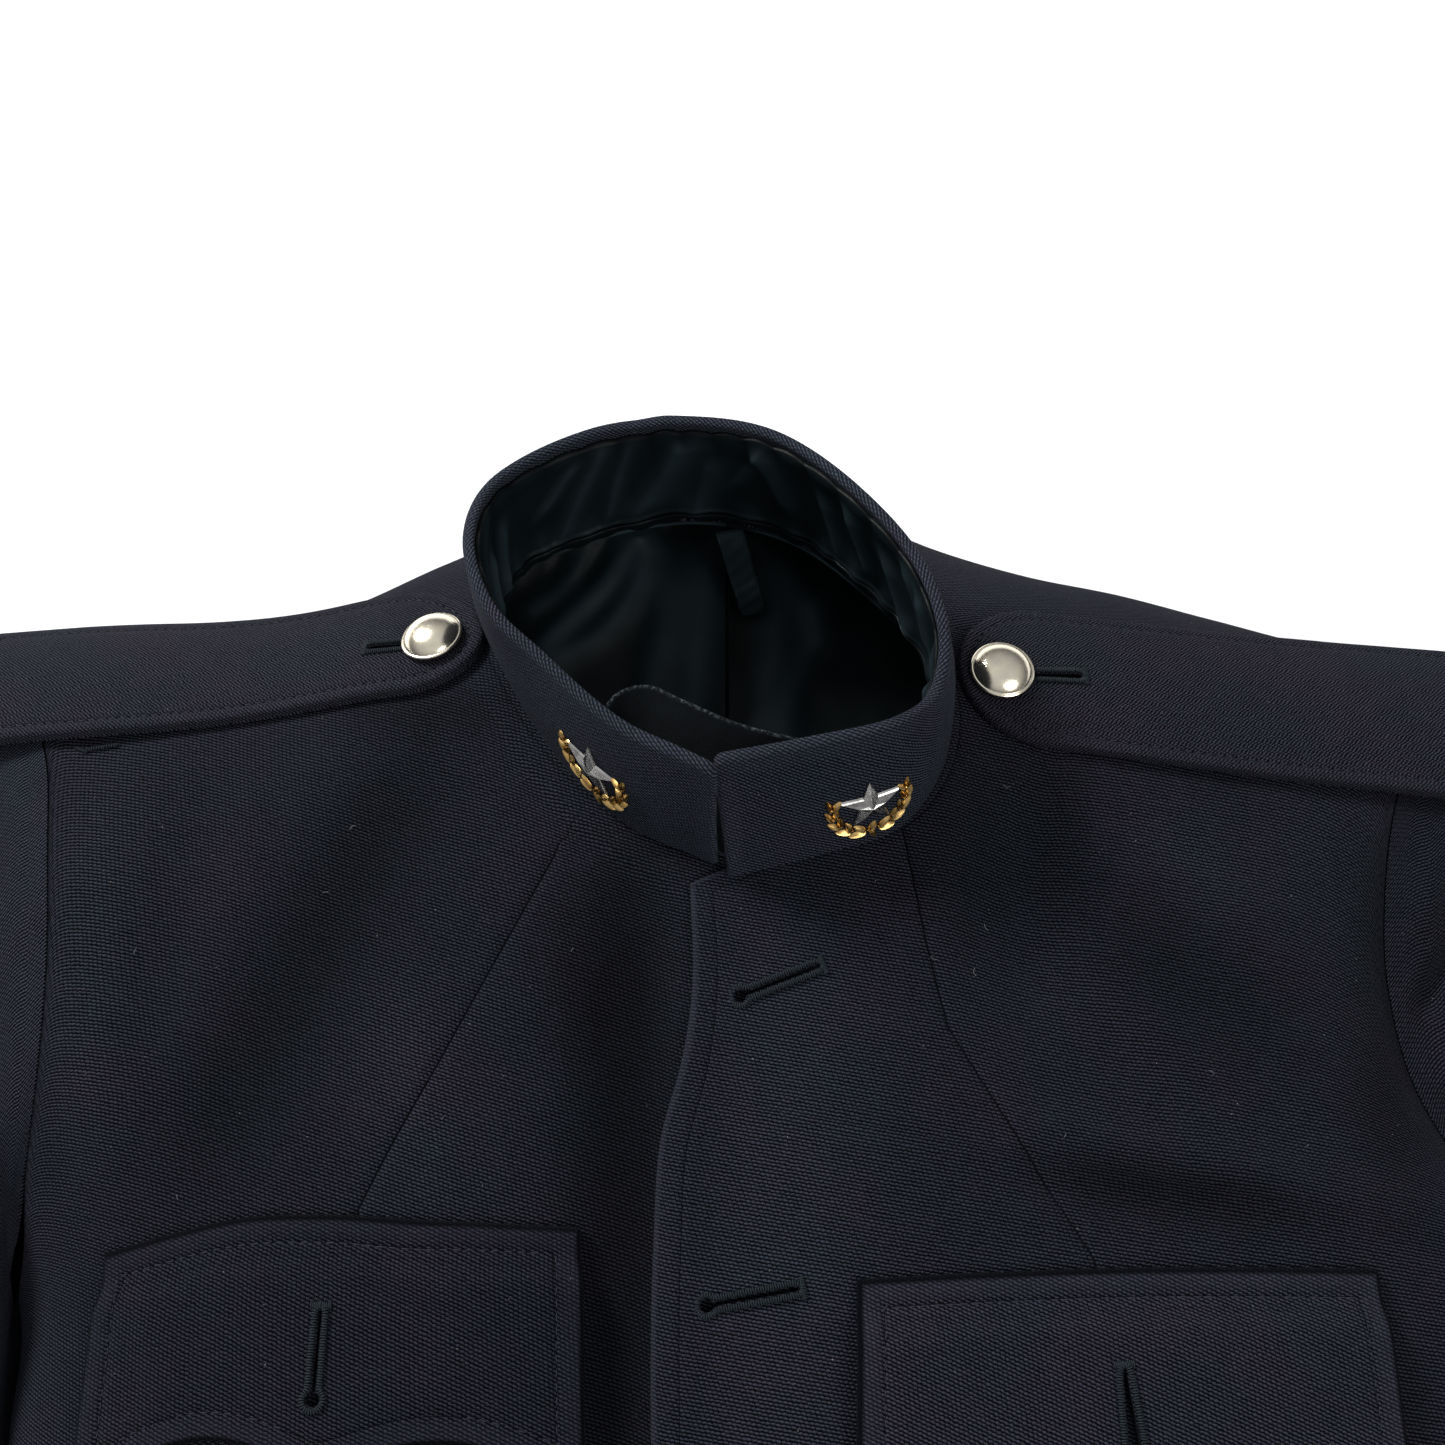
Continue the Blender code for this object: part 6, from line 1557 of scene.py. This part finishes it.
silver = plated("star_silver", (0.78, 0.76, 0.72), 0.22, (0.30, 0.29, 0.27))
gilt = plated("wreath_gilt", (0.86, 0.60, 0.24), 0.26, (0.34, 0.19, 0.05))
for side in WEARER:
    star = shell_mesh(f"badge_star_{WEARER[side]}", [star_shell(side)], silver, 0)
    shells = []
    for step in range(-5, 6):
        turn = -math.pi / 2 + step * math.radians(21.5)
        ahead = turn + math.copysign(math.pi / 2, step) if step else -math.pi / 2
        size = 1 - 0.05 * abs(step)
        for reach, tilt in ((0.0117, -0.42), (0.0094, 0.42)):
            centre = np.array([reach * math.cos(turn), reach * math.sin(turn)])
            heading = ahead + (tilt * math.copysign(1, step) if step else tilt)
            shells.append(leaf_shell(side, centre, heading, 0.0052 * size, 0.0022 * size))
        between = turn + math.copysign(math.radians(10.7), step)
        if 0 < abs(step) < 5:
            centre = (0.0106 * math.cos(between), 0.0106 * math.sin(between))
            shells.append(berry_shell(side, centre, 0.00055))
    wreath = shell_mesh(f"badge_wreath_{WEARER[side]}", shells, gilt, 38)
    for piece, node, slot in ((star, "collar_star", "star_silver"),
                              (wreath, "collar_wreath", "wreath_gilt")):
        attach(piece, "root")
        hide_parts(f"{node}_{WEARER[side]}")


# The shoulder straps: double wool, topstitched, sewn into the sleeve's seam and rounded at the
# neck, where a worked buttonhole takes the strap's button.
# x, upper y, lower y
STRAP = {
    RIGHT: [(0.0715, 0.2010, 0.1680), (0.1000, 0.2060, 0.1660), (0.1500, 0.2020, 0.1590),
            (0.1950, 0.1995, 0.1545), (0.2360, 0.1978, 0.1516)],
    LEFT: [(0.0700, 0.1960, 0.1520), (0.1000, 0.1945, 0.1480), (0.1400, 0.1915, 0.1425),
           (0.1800, 0.1895, 0.1375), (0.2310, 0.1862, 0.1325)],
}
STRAP_WALL = 0.003
STRAP_LIFT = 0.0008
STRAP_STITCH_INSET = 0.0041
STRAP_HOLES = {RIGHT: [(-0.0900, 0.1838, -0.1080, 0.1842, 0.00075, 0.00045)],
               LEFT: [(0.0850, 0.1712, 0.1065, 0.1711, 0.00085, 0.00045)]}


def raised(height, lift):
    """The height field of a layer at a distance over another, measured square to it."""
    def at(x, y):
        step = 1e-4
        slope_x = (height(x + step, y) - height(x - step, y)) / (2 * step)
        slope_y = (height(x, y + step) - height(x, y - step)) / (2 * step)
        return height(x, y) + lift * np.sqrt(1 + np.minimum(slope_x ** 2 + slope_y ** 2, 4))
    return at


def strap_lift(x):
    """How far a strap stands off the cloth, a little more towards the sleeve."""
    return STRAP_LIFT + 0.0020 * smooth_step(np.abs(x), 0.15, 0.21)


def settled(points, side, end):
    """Lower a strap's points beyond the armhole until its end lies on the sleeve."""
    top = BVHTree.FromObject(sleeves[side], bpy.context.evaluated_depsgraph_get())
    gaps = []
    for y in np.linspace(end[2], end[1], 7)[1:-1]:
        under = top.ray_cast(Vector((side * end[0], y, 1.0)), Vector((0.0, 0.0, -1.0)))[0]
        if under:
            gaps.append(float(front_height(side * end[0], y)) - under.z)
    drop = float(np.clip(min(gaps, default=0.0), 0.0, 0.008))
    lowered = points.copy()
    lowered[..., 2] -= drop * smooth_step(np.abs(points[..., 0]), 0.180, end[0])
    return lowered


strap_shares = np.linspace(0, 1, 170) ** 1.2
strap_widths = (1 - np.cos(np.pi * np.linspace(0.025, 0.975, 54))) / 2
for side in WEARER:
    table = np.array(STRAP[side])
    upper_edge = smooth_curve(table[:, [0, 1]] * (side, 1))
    lower_edge = smooth_curve(table[:, [0, 2]] * (side, 1))
    rows = []
    for width in strap_widths:
        back_off = 0.15 * (1 - float(rounded(1 - abs(2 * width - 1))))
        way = back_off + (1 - back_off) * strap_shares
        rows.append(lower_edge(way) * (1 - width) + upper_edge(way) * width)
    plan = np.array(rows)
    lift = strap_lift(plan[..., 0])
    edge = outline_distance(plan, rim_of(plan, 2))
    pillow = 0.00018 * np.sin(np.pi * np.clip(edge / 0.0040, 0, 1))
    groove = 0.0003 * np.exp(-((edge - STRAP_STITCH_INSET) / 0.0008) ** 2)
    thick = STRAP_WALL * (0.3 + 0.7 * rounded(edge / 0.0014)) + pillow - groove
    lower = settled(lay(front_height, plan, -lift), side, table[-1])
    upper = settled(lay(front_height, plan, -lift - thick), side, table[-1])
    # The straps are set paler than the fronts: partly their own cloth, partly painted light where they face
    # the window.
    cloth = wool(f"strap_cloth_{WEARER[side]}", 38 if side == RIGHT else -40, pitch=0.00085, yarn=0.00105,
                 lightness=1.26 if side == RIGHT else 1.20, edge_rub_and_highlight=0.05, cast=(1.0, 0.96, 0.92),
                 seams=(("stitched", 0.0002, 0.0011, 0.0005),))
    strap = cloth_mesh(f"strap_{WEARER[side]}", upper, lower, unrolled(upper), cloth,
                       marks={"stitched": edge - STRAP_STITCH_INSET, "edge": edge})
    face = raised(front_height, STRAP_LIFT + STRAP_WALL)
    cut_keyholes(strap, STRAP_HOLES[side], face, cloth)
    work_keyholes(f"strap_hole_{WEARER[side]}", f"strap_cloth_{WEARER[side]}", STRAP_HOLES[side], face)
    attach(strap, "root")
    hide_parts(f"shoulder_strap_{WEARER[side]}")
    path = inside_path(plan, STRAP_STITCH_INSET, 1)
    path = path[np.abs(path[:, 0]) < table[-1, 0] - 0.006]
    first = int(np.argmax(np.linalg.norm(np.roll(path, -1, axis=0) - path, axis=1))) + 1
    path = np.roll(path, -first, axis=0)
    depth = strap_lift(path[:, 0]) + STRAP_WALL - THREAD_SINK
    seat = lay(front_height, path, -depth)
    facing = lay(front_height, path, -depth - 1.0) - seat
    seat = settled(seat, side, table[-1])
    sew(f"strap_stitching_{WEARER[side]}", f"strap_cloth_{WEARER[side]}", [(seat, facing, False)],
        0.0031, 0.0023, 0.00045, 0.0004)


# The strap buttons: nickel domes with a rolled rim, on a shank that passes through the strap.
BUTTON_PLACE = {RIGHT: (0.0868, 0.1838), LEFT: (0.0822, 0.1710)}
# radius and height in millimetres, from the back to the crown
BUTTON_PROFILE = [(5.9, 0.0), (8.6, 0.2), (9.2, 0.7), (9.5, 1.25), (9.42, 1.75), (9.15, 2.0), (8.85, 2.02),
                  (8.68, 2.10), (8.5, 2.45), (8.2, 2.85), (7.7, 3.4), (7.0, 4.0), (6.1, 4.6), (5.0, 5.12),
                  (3.8, 5.5), (2.5, 5.72), (1.2, 5.80)]
nickel = plated("button_nickel", (0.95, 0.86, 0.64), 0.19, (0.72, 0.66, 0.55))
for side in WEARER:
    x, y = BUTTON_PLACE[side]
    place = np.array([[side * x, y]])
    base = lay(front_height, place, np.zeros(1))[0]
    seat = lay(front_height, place, np.array([-STRAP_LIFT - STRAP_WALL - SEAM]))[0]
    axis = (seat - base) / np.linalg.norm(seat - base)
    across = np.cross(axis, (0.0, 1.0, 0.0))
    across /= np.linalg.norm(across)
    around = np.cross(axis, across)
    count = 72
    points = []
    for radius, height in BUTTON_PROFILE:
        for turn in 2 * math.pi * np.arange(count) / count:
            out = across * math.cos(turn) + around * math.sin(turn)
            points.append(seat + axis * height / 1000 + out * radius / 1000)
    points.append(seat + axis * 0.00582)
    last = (len(BUTTON_PROFILE) - 1) * count
    faces = ring_faces(len(BUTTON_PROFILE), count)
    faces += [(last + i, last + (i + 1) % count, len(points) - 1) for i in range(count)]
    faces.append(tuple(range(count - 1, -1, -1)))
    button = shell_mesh(f"button_{WEARER[side]}", [(points, faces)], nickel, 38)
    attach(button, "root")
    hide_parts(f"strap_button_{WEARER[side]}")


# Odds and ends of use: a thread keeper worked under one strap with its ends left loose, and pale
# fibres of lint that the nap has caught.
keeper = [
    (*on_cloth(front_height, np.linspace((-0.1900, 0.1518), (-0.1812, 0.1533), 12), 0.0008), False),
    (*on_cloth(front_height, np.linspace((-0.1902, 0.1512), (-0.1934, 0.1526), 5), 0.0005), False),
]
sew("thread_keeper", "front_cloth_right", keeper,
    0.0007, 0.0015, 0.0005, 0.0008, 1.2, 0.3, purl_thread)
chance = np.random.default_rng(23)
fibres = []
for x, y in zip(chance.uniform(-0.19, 0.19, 22), chance.uniform(0.022, 0.158, 22)):
    turn, bend = chance.uniform(0, math.tau), chance.uniform(-0.9, 0.9)
    length = chance.uniform(0.0005, 0.0019)
    if abs(x) < 0.075 and y > 0.098 or abs(x + 0.028) < 0.012 or y > 0.145 and abs(x) > 0.09:
        continue
    steps = np.linspace(-0.5, 0.5, 6)
    heading = turn + bend * steps
    plan = np.column_stack([x + length * steps * np.cos(heading), y + length * steps * np.sin(heading)])
    fibres.append((*on_cloth(panel_height[RIGHT if x < -0.028 else LEFT], plan, 0.0004), False))
sew("lint", "front_cloth_left", fibres, 0.0005, 0.0008, 0.00017, 0.0002, 0.0, 0.2,
    thread("lint_fibre", (0.11, 0.115, 0.125)))


# The pale surface the jacket lies on, a soft light from above left with a weaker one opposite,
# and the camera of the photograph, half a metre up and tilted to the hem.
floor_mesh = bpy.data.meshes.new("floor")
floor_mesh.from_pydata([(-4, -4, 0), (4, -4, 0), (4, 4, 0), (-4, 4, 0)], [], [(0, 1, 2, 3)])
paper = new_finish("pale_paper", {"Base Color": (0.93, 0.93, 0.93, 1), "Roughness": 0.9})[0]
finished("floor", floor_mesh, paper, 0)

world = bpy.data.worlds.new("studio")
world.use_nodes = True
room = Tree(world.node_tree)
around = room.node("ShaderNodeTexCoord").outputs["Generated"]
height = room.node("ShaderNodeSeparateXYZ", {0: around}).outputs[2]
rise = room.math("MULTIPLY_ADD", height, 1.3, -0.15, clamp=True)
walls = room.blend(rise, (0.10, 0.10, 0.11, 1), (0.62, 0.63, 0.66, 1))
room.feed(world.node_tree.nodes["Background"], {"Color": walls, "Strength": 1.0})
bpy.context.scene.world = world
# name, place, size, watts
for name, place, size, watts in (
    ("window", (-1.60, 1.60, 1.45), 0.75, 97),
    ("room_light", (1.4, -1.2, 1.9), 1.5, 34),
):
    light = bpy.data.lights.new(name, "AREA")
    light.shape = "DISK"
    light.size = size
    light.energy = watts
    lamp = bpy.data.objects.new(name, light)
    lamp.location = place
    lamp.rotation_euler = (Vector((0, 0.05, 0)) - lamp.location).to_track_quat("-Z", "Y").to_euler()
    bpy.context.collection.objects.link(lamp)

TILT = math.radians(20)
lens = bpy.data.cameras.new("camera")
lens.sensor_width = 36.0
lens.lens = 36.0 * 1560 / 1445
camera = bpy.data.objects.new("camera", lens)
bpy.context.collection.objects.link(camera)
camera.matrix_world = Matrix((
    (1, 0, 0, 0),
    (0, math.cos(TILT), -math.sin(TILT), 0),
    (0, math.sin(TILT), math.cos(TILT), 0.495),
    (0, 0, 0, 1),
))
bpy.context.scene.camera = camera
bpy.context.scene.view_settings.view_transform = "Standard"
